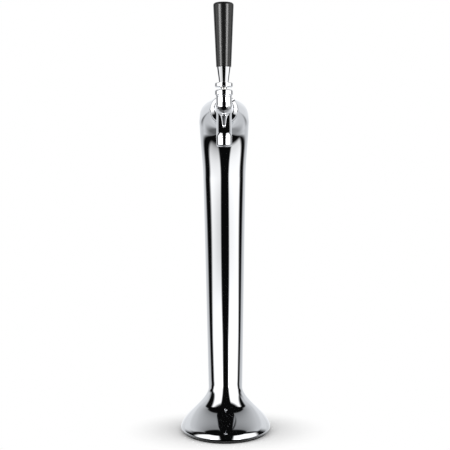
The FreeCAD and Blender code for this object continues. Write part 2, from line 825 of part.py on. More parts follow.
def faucet_body():
    """Cast body with the valve seat, the spout and the lever's chimney."""
    cone_start = FLANGE_FRONT + " + barrel_rear_length"
    spout_edge = "min(spout_edge; (barrel_radius - spout_bore_radius) * 0.95)"
    well_foot = BALL + " - sqrt(ball_radius ^ 2 - lever_well_radius ^ 2) - running_gap"
    barrel = on_axis(turned("barrel", [
        ("0", FAUCET_BACK), ("faucet_flange_radius", FAUCET_BACK), ("faucet_flange_radius", FLANGE_FRONT),
        ("barrel_rear_radius", FLANGE_FRONT), ("barrel_rear_radius", cone_start),
        ("barrel_radius", cone_start + " + barrel_cone_length"), ("barrel_radius", LEVER), ("0", LEVER)]))
    dome = sphere("dome", "barrel_radius", y="-" + LEVER, z="axis_height")
    chimney = at_lever(turned("chimney", [
        ("0", "axis_height"), ("chimney_radius", "axis_height"), ("chimney_radius", CHIMNEY_NECK),
        ("chimney_thread_radius", CHIMNEY_NECK), ("chimney_thread_radius", CHIMNEY_TOP), ("0", CHIMNEY_TOP)]))
    chimney_foot = sphere("chimney_foot", "chimney_radius", y="-" + LEVER, z="axis_height")
    branch = slanted("branch", "barrel_radius")
    elbow = sphere("elbow", "barrel_radius", y="-" + SPOUT, z=ELBOW)
    spout = place(turned("spout", [
        ("0", SPOUT_END), ("barrel_radius", SPOUT_END), ("barrel_radius", ELBOW), ("0", ELBOW)],
        rounds=[([1], spout_edge)]), y="-" + SPOUT)
    solid = joined("faucet_solid", [barrel, dome, chimney, chimney_foot, branch, elbow, spout])
    head_hollow = "shaft_head_radius + slot_gap"
    guide = "shaft_radius + running_gap"
    guide_back = BRANCH + " + seat_bore_radius"
    hollow_end = LEVER + " + tip_radius + shaft_head_wall + slot_gap * 2"
    hollows = [
        on_axis(turned("valve_bore", [
            ("0", FAUCET_BACK), ("seat_chamber_radius", FAUCET_BACK), ("seat_chamber_radius", SEAT),
            ("seat_bore_radius", SEAT), ("seat_bore_radius", guide_back), (guide, guide_back),
            (guide, GUIDE_FRONT), (head_hollow, GUIDE_FRONT), (head_hollow, hollow_end), ("0", hollow_end)])),
        slanted("branch_bore", "branch_bore_radius"),
        sphere("elbow_bore", "spout_bore_radius", y="-" + SPOUT, z=ELBOW),
        cylinder("spout_bore", "spout_bore_radius", ELBOW + " - " + SPOUT_END, y="-" + SPOUT, z=SPOUT_END),
        at_lever(turned("lever_well", [
            ("0", "axis_height"), ("lever_well_radius", "axis_height"), ("lever_well_radius", well_foot),
            ("chimney_bore_radius", well_foot + " + ball_radius / 6"), ("chimney_bore_radius", CHIMNEY_TOP),
            ("0", CHIMNEY_TOP)])),
    ]
    return pierced("faucet_body", solid, hollows)


def valve_shaft():
    """Sliding shaft: thread for the seat washer behind, slotted head in front."""
    head_front = LEVER + " + tip_radius + slot_gap + shaft_head_wall"
    groove = "ring_section_radius + running_gap"
    groove_floor = "shaft_radius - ring_groove_depth"
    shoulder = SEAT + " - running_gap"
    thread_end = shoulder + " - seat_washer_thick - seat_nut_length"
    blank = on_axis(turned("shaft_blank", [
        ("0", thread_end), ("shaft_thread_radius", thread_end), ("shaft_thread_radius", shoulder),
        ("shaft_radius", shoulder), ("shaft_radius", RING + " - (%s)" % groove),
        (groove_floor, RING + " - (%s)" % groove), (groove_floor, RING + " + " + groove),
        ("shaft_radius", RING + " + " + groove), ("shaft_radius", SHAFT_HEAD_BACK),
        ("shaft_head_radius", SHAFT_HEAD_BACK), ("shaft_head_radius", head_front), ("0", head_front)]))
    slot = block("shaft_slot", "(tip_radius + slot_gap) * 2", "(tip_radius + slot_gap) * 2",
                 "shaft_head_radius * 3", y="-" + LEVER, z="axis_height - shaft_head_radius * 1.5")
    return pierced("valve_shaft", blank, [slot])


def seat_washer():
    """Rubber washer that closes on the seat."""
    rear = SEAT + " - running_gap"
    inside = "shaft_thread_radius + running_gap"
    outline = [(inside, rear + " - seat_washer_thick"), ("seat_washer_radius", rear + " - seat_washer_thick"),
               ("seat_washer_radius", rear), (inside, rear)]
    return on_axis(turned("seat_washer", outline))


def seat_nut():
    """Nut that holds the seat washer on the shaft."""
    front = SEAT + " - running_gap - seat_washer_thick"
    inside = "shaft_thread_radius + running_gap"
    outline = [(inside, front + " - seat_nut_length"), ("seat_nut_radius", front + " - seat_nut_length"),
               ("seat_nut_radius", front), (inside, front)]
    return on_axis(turned("seat_nut", outline, chamfers=[([1], "seat_nut_length / 5")]))


def shaft_ring():
    """Rubber ring that seals the shaft in its guide."""
    inside = "shaft_radius - ring_section_radius * 2"
    rear = RING + " - ring_section_radius"
    front = RING + " + ring_section_radius"
    outline = [(inside, rear), ("shaft_radius", rear), ("shaft_radius", front), (inside, front)]
    return on_axis(turned("shaft_ring", outline, rounds=[([0, 1, 2, 3], "ring_section_radius * 0.7")]))


# Lever, what seats its ball, and the handle: turned about the lever's upright axis

def at_lever(item):
    """Puts an upright turned piece on the lever's axis."""
    return place(item, y="-" + LEVER)


def lever():
    """Tip, ball, neck and handle thread in one steel piece."""
    tip = sphere("lever_tip", "tip_radius", y="-" + LEVER, z="axis_height")
    ball = sphere("lever_ball", "ball_radius", y="-" + LEVER, z=BALL)
    stem = cylinder("lever_stem", "tip_stem_radius", "ball_rise", y="-" + LEVER, z="axis_height")
    rod = at_lever(turned("lever_rod", [
        ("0", BALL), ("lever_neck_radius", BALL), ("lever_neck_radius", COLLAR_FOOT),
        ("lever_thread_radius", COLLAR_FOOT), ("lever_thread_radius", LEVER_TOP), ("0", LEVER_TOP)]))
    return joined("lever", [tip, ball, stem, rod])


def ball_washer():
    """Plastic seat over the lever's ball, level with the top of the chimney."""
    start = BALL + " + washer_over_ball"
    blank = at_lever(turned("ball_washer_blank", [
        ("0", start), ("chimney_bore_radius - fit_gap", start),
        ("chimney_bore_radius - fit_gap", CHIMNEY_TOP), ("0", CHIMNEY_TOP)]))
    hollow = sphere("ball_washer_hollow", "ball_radius + running_gap", y="-" + LEVER, z=BALL)
    return pierced("ball_washer", blank, [hollow])


def friction_ring():
    """Flat ring that the bonnet presses on the ball washer."""
    outline = [("friction_ring_bore", CHIMNEY_TOP), ("friction_ring_radius", CHIMNEY_TOP),
               ("friction_ring_radius", BONNET_UNDER), ("friction_ring_bore", BONNET_UNDER)]
    return at_lever(turned("friction_ring", outline))


def bonnet():
    """Threaded cap over the chimney."""
    inside = "chimney_thread_radius + running_gap"
    step = CHIMNEY_NECK + " + bonnet_foot_length"
    outline = [(inside, CHIMNEY_NECK), ("bonnet_foot_radius", CHIMNEY_NECK), ("bonnet_foot_radius", step),
               ("bonnet_radius", step), ("bonnet_radius", BONNET_TOP), ("bonnet_hole_radius", BONNET_TOP),
               ("bonnet_hole_radius", BONNET_UNDER), (inside, BONNET_UNDER)]
    return at_lever(turned("bonnet", outline, rounds=[([4], "bonnet_edge"), ([3], "bonnet_edge / 3")]))


def lever_collar():
    """Lock ring under the ferrule."""
    inside = "lever_thread_radius + running_gap"
    outline = [(inside, COLLAR_FOOT), ("lever_collar_radius", COLLAR_FOOT),
               ("lever_collar_radius", FERRULE_FOOT), (inside, FERRULE_FOOT)]
    return at_lever(turned("lever_collar", outline, rounds=[([2], "lever_collar_edge")],
                           chamfers=[([1], "lever_collar_chamfer")]))


def ferrule():
    """Tapered chrome sleeve that joins the handle to the lever."""
    inside = "lever_thread_radius + running_gap"
    top_bore = "stud_radius + running_gap"
    foot_edge = "min(ferrule_edge; ferrule_foot_radius - lever_thread_radius - running_gap * 2)"
    outline = [(inside, FERRULE_FOOT), ("ferrule_foot_radius", FERRULE_FOOT),
               ("ferrule_top_radius", HANDLE_FOOT), (top_bore, HANDLE_FOOT),
               (top_bore, LEVER_TOP), (inside, LEVER_TOP)]
    return at_lever(turned("ferrule", outline, rounds=[([1], foot_edge)]))


def tap_handle():
    """Black tapered grip with rounded top edge and a blind hole for the stud."""
    hole = "stud_radius + running_gap"
    top = HANDLE_FOOT + " + handle_length"
    hole_end = HANDLE_FOOT + " + handle_hole_depth"
    outline = [(hole, HANDLE_FOOT), ("handle_foot_radius", HANDLE_FOOT), ("handle_top_radius", top),
               ("0", top), ("0", hole_end), (hole, hole_end)]
    return at_lever(turned("tap_handle", outline, rounds=[([2], "handle_edge"), ([1], "handle_edge / 6")]))


def handle_stud():
    """Steel stud from the ferrule into the handle."""
    top = HANDLE_FOOT + " + handle_hole_depth - running_gap"
    outline = [("0", top + " - stud_length"), ("stud_radius", top + " - stud_length"),
               ("stud_radius", top), ("0", top)]
    return at_lever(turned("handle_stud", outline, chamfers=[([1, 2], "stud_radius / 5")]))


PIECES = [
    tower_shell(), base_gasket(), base_inserts(), foam_insulation(), beer_line(), line_clamps(),
    line_tail(), tail_seal(), swivel_nut(), shank(), shank_flange(), shank_grub_screw(),
    coupling_seal(), coupling_nut(), faucet_body(), valve_shaft(), seat_washer(), seat_nut(),
    shaft_ring(), lever(), ball_washer(), friction_ring(), bonnet(), lever_collar(), ferrule(),
    tap_handle(), handle_stud(),
]
doc.recompute()

for thing in doc.Objects:
    if "Invalid" in thing.State or "Error" in thing.State:
        raise RuntimeError("%s is not built: %s" % (thing.Label, thing.State))
for piece in PIECES:
    if piece.Shape.isNull() or not piece.Shape.isValid():
        raise RuntimeError("%s has no valid shape" % piece.Label)

os.makedirs("parts", exist_ok=True)
for piece in PIECES:
    piece.Shape.exportStep("parts/%s.step" % piece.Label)
    box = piece.Shape.BoundBox
    print("%-18s solids %d volume %9.1f  x %.1f..%.1f y %.1f..%.1f z %.1f..%.1f" % (
        piece.Label, len(piece.Shape.Solids), piece.Shape.Volume,
        box.XMin, box.XMax, box.YMin, box.YMax, box.ZMin, box.ZMax))
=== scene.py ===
"""Looks of a chrome draft tower with one lever faucet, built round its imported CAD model.

Sizes are in millimetres in the classes below and become metres when a mesh is made.
"""
import logging
import math
from dataclasses import dataclass
from enum import Enum
from typing import Dict, List, Optional, Sequence, Tuple, Union

import bpy
import numpy as np
from mathutils import Matrix, Vector


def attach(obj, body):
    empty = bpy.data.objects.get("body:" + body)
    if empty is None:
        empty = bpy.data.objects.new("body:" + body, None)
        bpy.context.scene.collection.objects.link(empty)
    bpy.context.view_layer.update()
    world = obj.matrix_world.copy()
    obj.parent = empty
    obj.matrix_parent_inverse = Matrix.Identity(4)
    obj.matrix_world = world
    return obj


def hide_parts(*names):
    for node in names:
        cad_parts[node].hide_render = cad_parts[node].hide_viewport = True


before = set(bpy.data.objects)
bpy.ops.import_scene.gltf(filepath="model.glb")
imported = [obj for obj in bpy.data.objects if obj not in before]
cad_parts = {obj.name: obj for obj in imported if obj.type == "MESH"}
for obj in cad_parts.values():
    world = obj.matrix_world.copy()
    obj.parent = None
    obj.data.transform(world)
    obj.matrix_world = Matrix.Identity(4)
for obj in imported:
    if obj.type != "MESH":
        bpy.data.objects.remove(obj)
LOG = logging.getLogger("beer_tower")
MM = 0.001
Number = Union[int, float]
Colour = Tuple[float, float, float]
Span = Tuple[float, float]
Points = np.ndarray


class Body(Enum):
    """The moving bodies of the tower."""

    TOWER = "tower"
    LEVER = "lever"
    PLUNGER = "plunger"


class Slot(Enum):
    """The record's material slots."""

    CHROME = "chrome_plate"
    STAINLESS = "stainless"
    PLATED_BRASS = "plated_brass"
    BARE_BRASS = "bare_brass"
    RUBBER = "black_rubber"
    NYLON = "white_nylon"
    GRIP = "black_grip"
    HOSE = "clear_hose"
    FOAM = "grey_foam"


# Shader graph


class Term:
    """A number on a shader socket, for use in plain arithmetic."""

    def __init__(self, graph: "Graph", socket: bpy.types.NodeSocket) -> None:
        """Keeps the graph and the socket that the number comes from."""
        self.graph = graph
        self.socket = socket

    def __add__(self, other: "TermOrNumber") -> "Term":
        """Sum."""
        return self.graph.maths("ADD", self, other)

    def __radd__(self, other: Number) -> "Term":
        """Sum with the number first."""
        return self.graph.maths("ADD", other, self)

    def __sub__(self, other: "TermOrNumber") -> "Term":
        """Difference."""
        return self.graph.maths("SUBTRACT", self, other)

    def __rsub__(self, other: Number) -> "Term":
        """Difference with the number first."""
        return self.graph.maths("SUBTRACT", other, self)

    def __mul__(self, other: "TermOrNumber") -> "Term":
        """Product."""
        return self.graph.maths("MULTIPLY", self, other)

    def __rmul__(self, other: Number) -> "Term":
        """Product with the number first."""
        return self.graph.maths("MULTIPLY", other, self)

    def __abs__(self) -> "Term":
        """Size without its sign."""
        return self.graph.maths("ABSOLUTE", self, 0.0)

    def at_least(self, other: "TermOrNumber") -> "Term":
        """The larger of two numbers."""
        return self.graph.maths("MAXIMUM", self, other)

    def at_most(self, other: "TermOrNumber") -> "Term":
        """The smaller of two numbers."""
        return self.graph.maths("MINIMUM", self, other)

    def rise(self, low: float, high: float) -> "Term":
        """Smooth step from 0 at one value to 1 at another."""
        settings = {"interpolation_type": "SMOOTHSTEP"}
        return self.graph.add("MapRange", settings, {"Value": self, "From Min": low, "From Max": high})


TermOrNumber = Union[Term, int, float]
Plug = Union[Term, int, float, Sequence[float]]


class Graph:
    """Node tree of one material or of the world."""

    def __init__(self, tree: bpy.types.NodeTree) -> None:
        """Clears the tree so that it can be filled."""
        self.tree = tree
        tree.nodes.clear()

    def add(
        self,
        kind: str,
        settings: Optional[Dict[str, object]] = None,
        values: Optional[Dict[Union[str, int], Plug]] = None,
        outlet: Union[str, int] = 0,
    ) -> Term:
        """Adds a node.

        Args:
            kind: The node's type, without its ShaderNode prefix.
            settings: Its properties; "stops" holds a ramp's places and colours.
            values: Numbers, colours or links for its sockets, by name or place.
            outlet: The output to hand back, by name or place.

        Returns:
            The chosen output.
        """
        node = self.tree.nodes.new("ShaderNode" + kind)
        for name, setting in (settings or {}).items():
            if name == "stops":
                self._set_stops(node.color_ramp, setting)
            else:
                setattr(node, name, setting)
        for name, value in (values or {}).items():
            if isinstance(value, Term):
                self.tree.links.new(value.socket, node.inputs[name])
            else:
                node.inputs[name].default_value = value
        return Term(self, node.outputs[outlet]) if len(node.outputs) else Term(self, None)

    @staticmethod
    def _set_stops(ramp: bpy.types.ColorRamp, stops: Sequence[Tuple[float, Colour]]) -> None:
        """Gives a ramp its places and colours."""
        while len(ramp.elements) < len(stops):
            ramp.elements.new(0.5)
        for element, (place, colour) in zip(ramp.elements, stops):
            element.position = place
            element.color = (*colour, 1.0)

    def maths(self, operation: str, first: TermOrNumber, second: TermOrNumber) -> Term:
        """Adds a Math node on two numbers."""
        return self.add("Math", {"operation": operation}, {0: first, 1: second})

    def mix(self, share: TermOrNumber, first: Plug, second: Plug) -> Term:
        """Adds a blend of two colours."""
        return self.add("Mix", {"data_type": "RGBA"}, {0: share, 6: first, 7: second}, 2)

    def place(self) -> Term:
        """Adds the place on the piece, in metres."""
        return self.add("TexCoord", outlet="Object")

    def stretched(self, scale: Sequence[float]) -> Term:
        """Adds the place on the piece, stretched along its axes."""
        return self.add("Mapping", values={"Vector": self.place(), "Scale": scale})

    def noise(self, scale: float, detail: float = 3.0, vector: Optional[Term] = None) -> Term:
        """Adds even noise of about one spot per 1 / scale metres."""
        return self.add(
            "TexNoise", values={"Vector": vector or self.place(), "Scale": scale, "Detail": detail}
        )

    def bump(self, height: Term, depth: float, normal: Optional[Term] = None) -> Term:
        """Adds a relief of a given depth in metres."""
        values: Dict[Union[str, int], Plug] = {"Height": height, "Distance": depth, "Strength": 1.0}
        if normal is not None:
            values["Normal"] = normal
        return self.add("Bump", values=values)

    def surface(self, **values: Plug) -> None:
        """Ends the tree in a Principled surface; a name's underscores stand for spaces."""
        sockets = {name.replace("_", " "): value for name, value in values.items()}
        shader = self.add("BsdfPrincipled", values=sockets)
        self.add("OutputMaterial", values={"Surface": shader})


def grey(level: float) -> Tuple[float, float, float, float]:
    """Makes a neutral colour."""
    return (level, level, level, 1.0)


def tint(colour: Colour, level: float = 1.0) -> Tuple[float, float, float, float]:
    """Makes a shader colour from three shares and a level."""
    return (colour[0] * level, colour[1] * level, colour[2] * level, 1.0)


# Finishes


@dataclass(frozen=True)
class Finish:
    """A surface finish that can be put on many pieces."""

    name: str
    slot: Slot

    def material(self) -> bpy.types.Material:
        """Returns the finish's material, made when it is first asked for."""
        found = bpy.data.materials.get(self.name)
        if found is None:
            found = bpy.data.materials.new(self.name)
            found.use_nodes = True
            self.paint(Graph(found.node_tree))
        return found

    def paint(self, graph: Graph) -> None:
        """Fills the material's tree."""
        raise NotImplementedError


@dataclass(frozen=True)
class Chrome(Finish):
    """Polished plating with a faint ripple, wiping marks and hairline scratches, and painted shade along
    the foot when shade_top is set.
    """

    colour: Colour = (0.93, 0.94, 0.96)
    gloss: float = 0.035
    smudge: float = 0.05
    ripple: float = 0.000012
    # shade_top, shade_start and shade_level set the painted shade at the foot: its top in metres, the share
    # of it where the fade begins, and its dark level.
    shade_top: float = 0.0
    shade_start: float = 0.8
    shade_level: float = 0.015

    def paint(self, graph: Graph) -> None:
        """Fills the material's tree; below shade_top, in metres, the plating's colour is painted dark as a
        painted contact shade along the foot.
        """
        marks = graph.noise(26.0, 5.0).rise(0.5, 0.78)
        fine = graph.noise(420.0, 2.0, graph.stretched((1.0, 1.0, 0.06)))
        hairs = fine.rise(0.66, 0.74)
        colour = graph.mix(marks * 0.5, tint(self.colour), tint(self.colour, 0.955))
        if self.shade_top > 0.0:
            # Painted shade: the base colour darkens towards the foot and stands for the contact shadow
            # there.
            height = graph.add("SeparateXYZ", values={0: graph.place()}, outlet=2)
            low = 1.0 - height.rise(self.shade_top * self.shade_start, self.shade_top)
            colour = graph.mix(low, colour, grey(self.shade_level))
        waves = graph.bump(graph.noise(38.0, 1.0), self.ripple)
        graph.surface(
            Base_Color=colour, Metallic=1.0,
            Roughness=self.gloss + marks * self.smudge + hairs * 0.03, Normal=waves,
        )


@dataclass(frozen=True)
class Machined(Finish):
    """Bare or plated metal with fine turning marks across its axis."""

    colour: Colour = (0.62, 0.61, 0.59)
    gloss: float = 0.2
    groove: float = 0.000006
    stain: float = 0.8

    def paint(self, graph: Graph) -> None:
        """Fills the material's tree."""
        rings = graph.noise(900.0, 1.0, graph.stretched((0.05, 1.0, 1.0)))
        patches = graph.noise(70.0, 4.0).rise(0.4, 0.7)
        colour = graph.mix(patches, tint(self.colour), tint(self.colour, self.stain))
        graph.surface(
            Base_Color=colour, Metallic=1.0, Roughness=self.gloss + rings * 0.12 + patches * 0.06,
            Normal=graph.bump(rings, self.groove),
        )


@dataclass(frozen=True)
class Rubber(Finish):
    """Moulded rubber with a fine grain and a little dust."""

    level: float = 0.018
    gloss: float = 0.55

    def paint(self, graph: Graph) -> None:
        """Fills the material's tree."""
        grain = graph.noise(2600.0, 2.0)
        dust = graph.noise(90.0, 4.0).rise(0.52, 0.8)
        graph.surface(
            Base_Color=graph.mix(dust, grey(self.level), grey(self.level * 2.2)),
            Roughness=self.gloss + dust * 0.2, Normal=graph.bump(grain, 0.00003),
        )


@dataclass(frozen=True)
class Moulded(Finish):
    """Moulded plastic with a faint flow pattern."""

    colour: Colour = (0.8, 0.79, 0.75)
    gloss: float = 0.35
    grain: float = 0.00001

    def paint(self, graph: Graph) -> None:
        """Fills the material's tree."""
        flow = graph.noise(120.0, 4.0)
        graph.surface(
            Base_Color=graph.mix(flow, tint(self.colour), tint(self.colour, 0.86)),
            Roughness=self.gloss + flow * 0.12, Normal=graph.bump(graph.noise(1500.0), self.grain),
        )


@dataclass(frozen=True)
class GlossGrip(Finish):
    """Hard black resin, buffed to a deep gloss."""

    level: float = 0.0008
    gloss: float = 0.06
    specular: float = 0.1

    def paint(self, graph: Graph) -> None:
        """Fills the material's tree."""
        wipes = graph.noise(60.0, 5.0, graph.stretched((1.0, 1.0, 0.3))).rise(0.5, 0.8)
        specks = graph.noise(1400.0, 1.0).rise(0.7, 0.78)
        graph.surface(
            Base_Color=graph.mix(specks, grey(self.level), tint((0.9, 0.95, 1.1), self.level * 3)),
            Roughness=self.gloss + wipes * 0.03, Specular_IOR_Level=self.specular,
            Normal=graph.bump(graph.noise(300.0, 1.0), 0.000001),
        )


@dataclass(frozen=True)
class Foam(Finish):
    """Closed-cell foam with its cells showing."""

    level: float = 0.2

    def paint(self, graph: Graph) -> None:
        """Fills the material's tree."""
        cells = graph.add("TexVoronoi", values={"Vector": graph.place(), "Scale": 620.0})
        graph.surface(
            Base_Color=graph.mix(cells, grey(self.level), grey(self.level * 1.5)),
            Roughness=0.92, Normal=graph.bump(cells, 0.0004),
        )


CHROME = Chrome("chrome_plating", Slot.CHROME)
# The shell's chrome is painted dark up to 5.6 mm above the floor, as painted shade along the foot.
SHELL_CHROME_WITH_PAINTED_FOOT_SHADE = Chrome("chrome_on_shell_with_painted_foot_shade", Slot.CHROME, shade_top=0.0056)
CAST_CHROME = Chrome("chrome_on_casting", Slot.CHROME, gloss=0.045, smudge=0.06, ripple=0.00001)
STEEL = Machined("turned_stainless", Slot.STAINLESS)
PLATED = Machined("plated_brass", Slot.PLATED_BRASS, colour=(0.74, 0.73, 0.7), gloss=0.14)
BRASS = Machined("bare_brass", Slot.BARE_BRASS, colour=(0.72, 0.5, 0.2), gloss=0.22, stain=0.7)
RUBBER = Rubber("black_rubber", Slot.RUBBER)
NYLON = Moulded("white_nylon", Slot.NYLON)
HOSE = Moulded("clear_hose", Slot.HOSE, colour=(0.66, 0.7, 0.7), gloss=0.22)
GRIP = GlossGrip("black_grip", Slot.GRIP)
FOAM = Foam("grey_foam", Slot.FOAM)


# Meshes


class Piece:
    """One mesh of the object, given to a body and a finish."""

    def __init__(self, name: str, mesh: bpy.types.Mesh) -> None:
        """Links the mesh into the scene as an object at the origin."""
        self.item = bpy.data.objects.new(name, mesh)
        bpy.context.scene.collection.objects.link(self.item)

    def dress(self, finish: Finish, body: Body, *nodes: str) -> "Piece":
        """Gives the piece its finish, its body and the CAD nodes that it stands for."""
        self.item.data.materials.clear()
        self.item.data.materials.append(finish.material())
        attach(self.item, body.value)
        if nodes:
            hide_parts(*nodes)
        LOG.info("%s: %d faces on %s", self.item.name, len(self.item.data.polygons), body.value)
        return self


def smooth_mesh(
    name: str, places: Points, faces: Points, normals: Optional[Points] = None
) -> bpy.types.Mesh:
    """Makes a smooth mesh.

    Args:
        name: The mesh's name.
        places: Corner places, one row each, in millimetres.
        faces: Corner numbers, one row of four to a face; a repeated one makes a triangle.
        normals: Directions to shade by, one for each of the faces' corners, or none.

    Returns:
        The mesh, in metres.
    """
    mesh = bpy.data.meshes.new(name)
    rows: List[List[int]] = []
    used: List[int] = []
    for row, face in enumerate(faces.tolist()):
        kept = [k for k in range(4) if face[k] != face[k - 1]]
        if len(kept) > 2:
            rows.append([face[k] for k in kept])
            used += [row * 4 + k for k in kept]
    mesh.from_pydata((places * MM).tolist(), [], rows)
    mesh.polygons.foreach_set("use_smooth", [True] * len(rows))
    if normals is not None:
        mesh.normals_split_custom_set(normals[used].tolist())
    mesh.update()
    return mesh


def turns(count: int) -> Points:
    """Angles of even steps round an axis."""
    return np.arange(count) * (2 * math.pi / count)


@dataclass(frozen=True)
class Corner:
    """A corner of a turned outline, with the radius it is rounded to."""

    radius: float
    along: float
    round: float = 0.0


class Lay(Enum):
    """The axis that a turned piece is laid on."""

    FORWARD = "along the shank"
    UPRIGHT = "up the lever"


@dataclass
class Lathe:
    """Turns outlines about the shank's axis or the lever's, and makes pieces of them."""

    axis_height: float = 415.0
    lever_reach: float = 108.0
    arc_steps: int = 7
    sharp: float = math.radians(28)
    tiny: float = 1e-6

    def outline(self, corners: Sequence[Corner]) -> Points:
        """Works out the outline with its corners rounded, anticlockwise."""
        marks: List[Tuple[float, float]] = []
        count = len(corners)
        for number, corner in enumerate(corners):
            here = np.array([corner.radius, corner.along])
            if corner.round <= 0.0:
                marks.append((corner.radius, corner.along))
                continue
            before = np.array([corners[number - 1].radius, corners[number - 1].along]) - here
            after_corner = corners[(number + 1) % count]
            after = np.array([after_corner.radius, after_corner.along]) - here
            before /= np.linalg.norm(before)
            after /= np.linalg.norm(after)
            half = math.acos(float(np.clip(before @ after, -1, 1))) / 2
            reach = corner.round / math.tan(half)
            inward = (before + after) / np.linalg.norm(before + after)
            centre = here + inward * corner.round / math.sin(half)
            start = here + before * reach - centre
            end = here + after * reach - centre
            turn = math.atan2(start[0] * end[1] - start[1] * end[0], start @ end)
            for step in range(self.arc_steps + 1):
                angle = turn * step / self.arc_steps
                spin = np.array([[math.cos(angle), -math.sin(angle)], [math.sin(angle), math.cos(angle)]])
                marks.append(tuple(centre + spin @ start))
        points = np.array(marks)
        following = np.roll(points, -1, axis=0)
        area = float(np.sum(points[:, 0] * following[:, 1] - following[:, 0] * points[:, 1]))
        return points if area > 0 else points[::-1]

    def turn(self, name: str, corners: Sequence[Corner], lay: Lay, segments: int = 128) -> bpy.types.Mesh:
        """Turns a closed outline into a mesh.

        Args:
            name: The mesh's name.
            corners: The outline's corners, in order round it.
            lay: The axis it is laid on.
            segments: Steps round the axis.

        Returns:
            The mesh, in metres, where it belongs on the tower.
        """
        points = self.outline(corners)
        count = len(points)
        spans = np.roll(points, -1, axis=0) - points
        lengths = np.linalg.norm(spans, axis=1)
        outward = np.stack([spans[:, 1], -spans[:, 0]], 1) / np.maximum(lengths[:, None], 1e-12)
        angles = turns(segments)
        ring = np.stack([np.cos(angles), np.sin(angles)], 1)
        places = np.zeros((count, segments, 3))
        places[:, :, :2] = points[:, 0, None, None] * ring[None]
        places[:, :, 2] = points[:, 1, None]
        faces, normals = [], []
        nexts = np.roll(np.arange(segments), -1)
        for start in range(count):
            end = (start + 1) % count
            if max(points[start, 0], points[end, 0]) < self.tiny or lengths[start] < self.tiny:
                continue
            base, top = start * segments, end * segments
            columns = np.arange(segments)
            faces.append(np.stack([base + columns, base + nexts, top + nexts, top + columns], 1))
            ends = (self.shade(start, outward, lengths), self.shade(end, outward, lengths, start))
            for column in range(segments):
                for mark, spoke in ((0, column), (0, nexts[column]), (1, nexts[column]), (1, column)):
                    across, along = ends[mark]
                    normals.append((across * ring[spoke, 0], across * ring[spoke, 1], along))
        flat_places = self.lay(places.reshape(-1, 3), lay, True)
        flat_normals = self.lay(np.array(normals), lay, False)
        _, first, same = np.unique(
            np.round(flat_places, 5), axis=0, return_index=True, return_inverse=True
        )
        return smooth_mesh(name, flat_places[first], same.reshape(-1)[np.concatenate(faces)], flat_normals)

    def shade(self, mark: int, outward: Points, lengths: Points, face: Optional[int] = None) -> Span:
        """Works out how an outline's face is shaded at one of its two marks."""
        own = mark if face is None else face
        other = (mark - 1) % len(outward) if face is None else mark
        if lengths[other] < self.tiny or outward[own] @ outward[other] < math.cos(self.sharp):
            return tuple(outward[own])
        both = outward[own] * lengths[own] + outward[other] * lengths[other]
        return tuple(both / np.linalg.norm(both))

    def piece(
        self, name: str, node: str, body: Body, finish: Finish, lay: Lay, segments: int,
        corners: Sequence[Corner],
    ) -> Piece:
        """Turns a piece and dresses it as the node that it stands for."""
        return Piece(name, self.turn(name, corners, lay, segments)).dress(finish, body, node)

    def lay(self, rows: Points, lay: Lay, moved: bool) -> Points:
        """Lays turned places or directions on their axis."""
        if lay is Lay.UPRIGHT:
            return rows + np.array([0, -self.lever_reach, 0]) * moved
        laid = np.stack([rows[:, 0], -rows[:, 2], rows[:, 1]], 1)
        return laid + np.array([0, 0, self.axis_height]) * moved


LATHE = Lathe()


def ease(part: float) -> float:
    """Rises smoothly from 0 to 1 as its argument does."""
    clear = min(max(part, 0.0), 1.0)
    return clear * clear * (3.0 - 2.0 * clear)


@dataclass
class Section:
    """One ring of the body: two ends in the YZ plane, a half width and how square its back is."""

    front: Points
    back: Points
    half_width: float
    squareness: float = 2.0

    def ring(self, count: int, inset: float = 0.0) -> Points:
        """Works out points round the section, drawn in by an inset."""
        middle = (self.front + self.back) / 2
        deep = (self.back - self.front) / 2
        length = float(np.linalg.norm(deep))
        deep = deep * (length - inset) / length
        angles = turns(count)
        along, across = np.cos(angles), np.sin(angles)
        power = np.where(across > 0, self.squareness, 2.0)
        radius = (np.abs(along) ** power + np.abs(across) ** power) ** (-1.0 / power)
        return np.stack([
            (self.half_width - inset) * radius * along,
            middle[0] + deep[0] * radius * across,
            middle[1] + deep[1] * radius * across,
        ], 1)


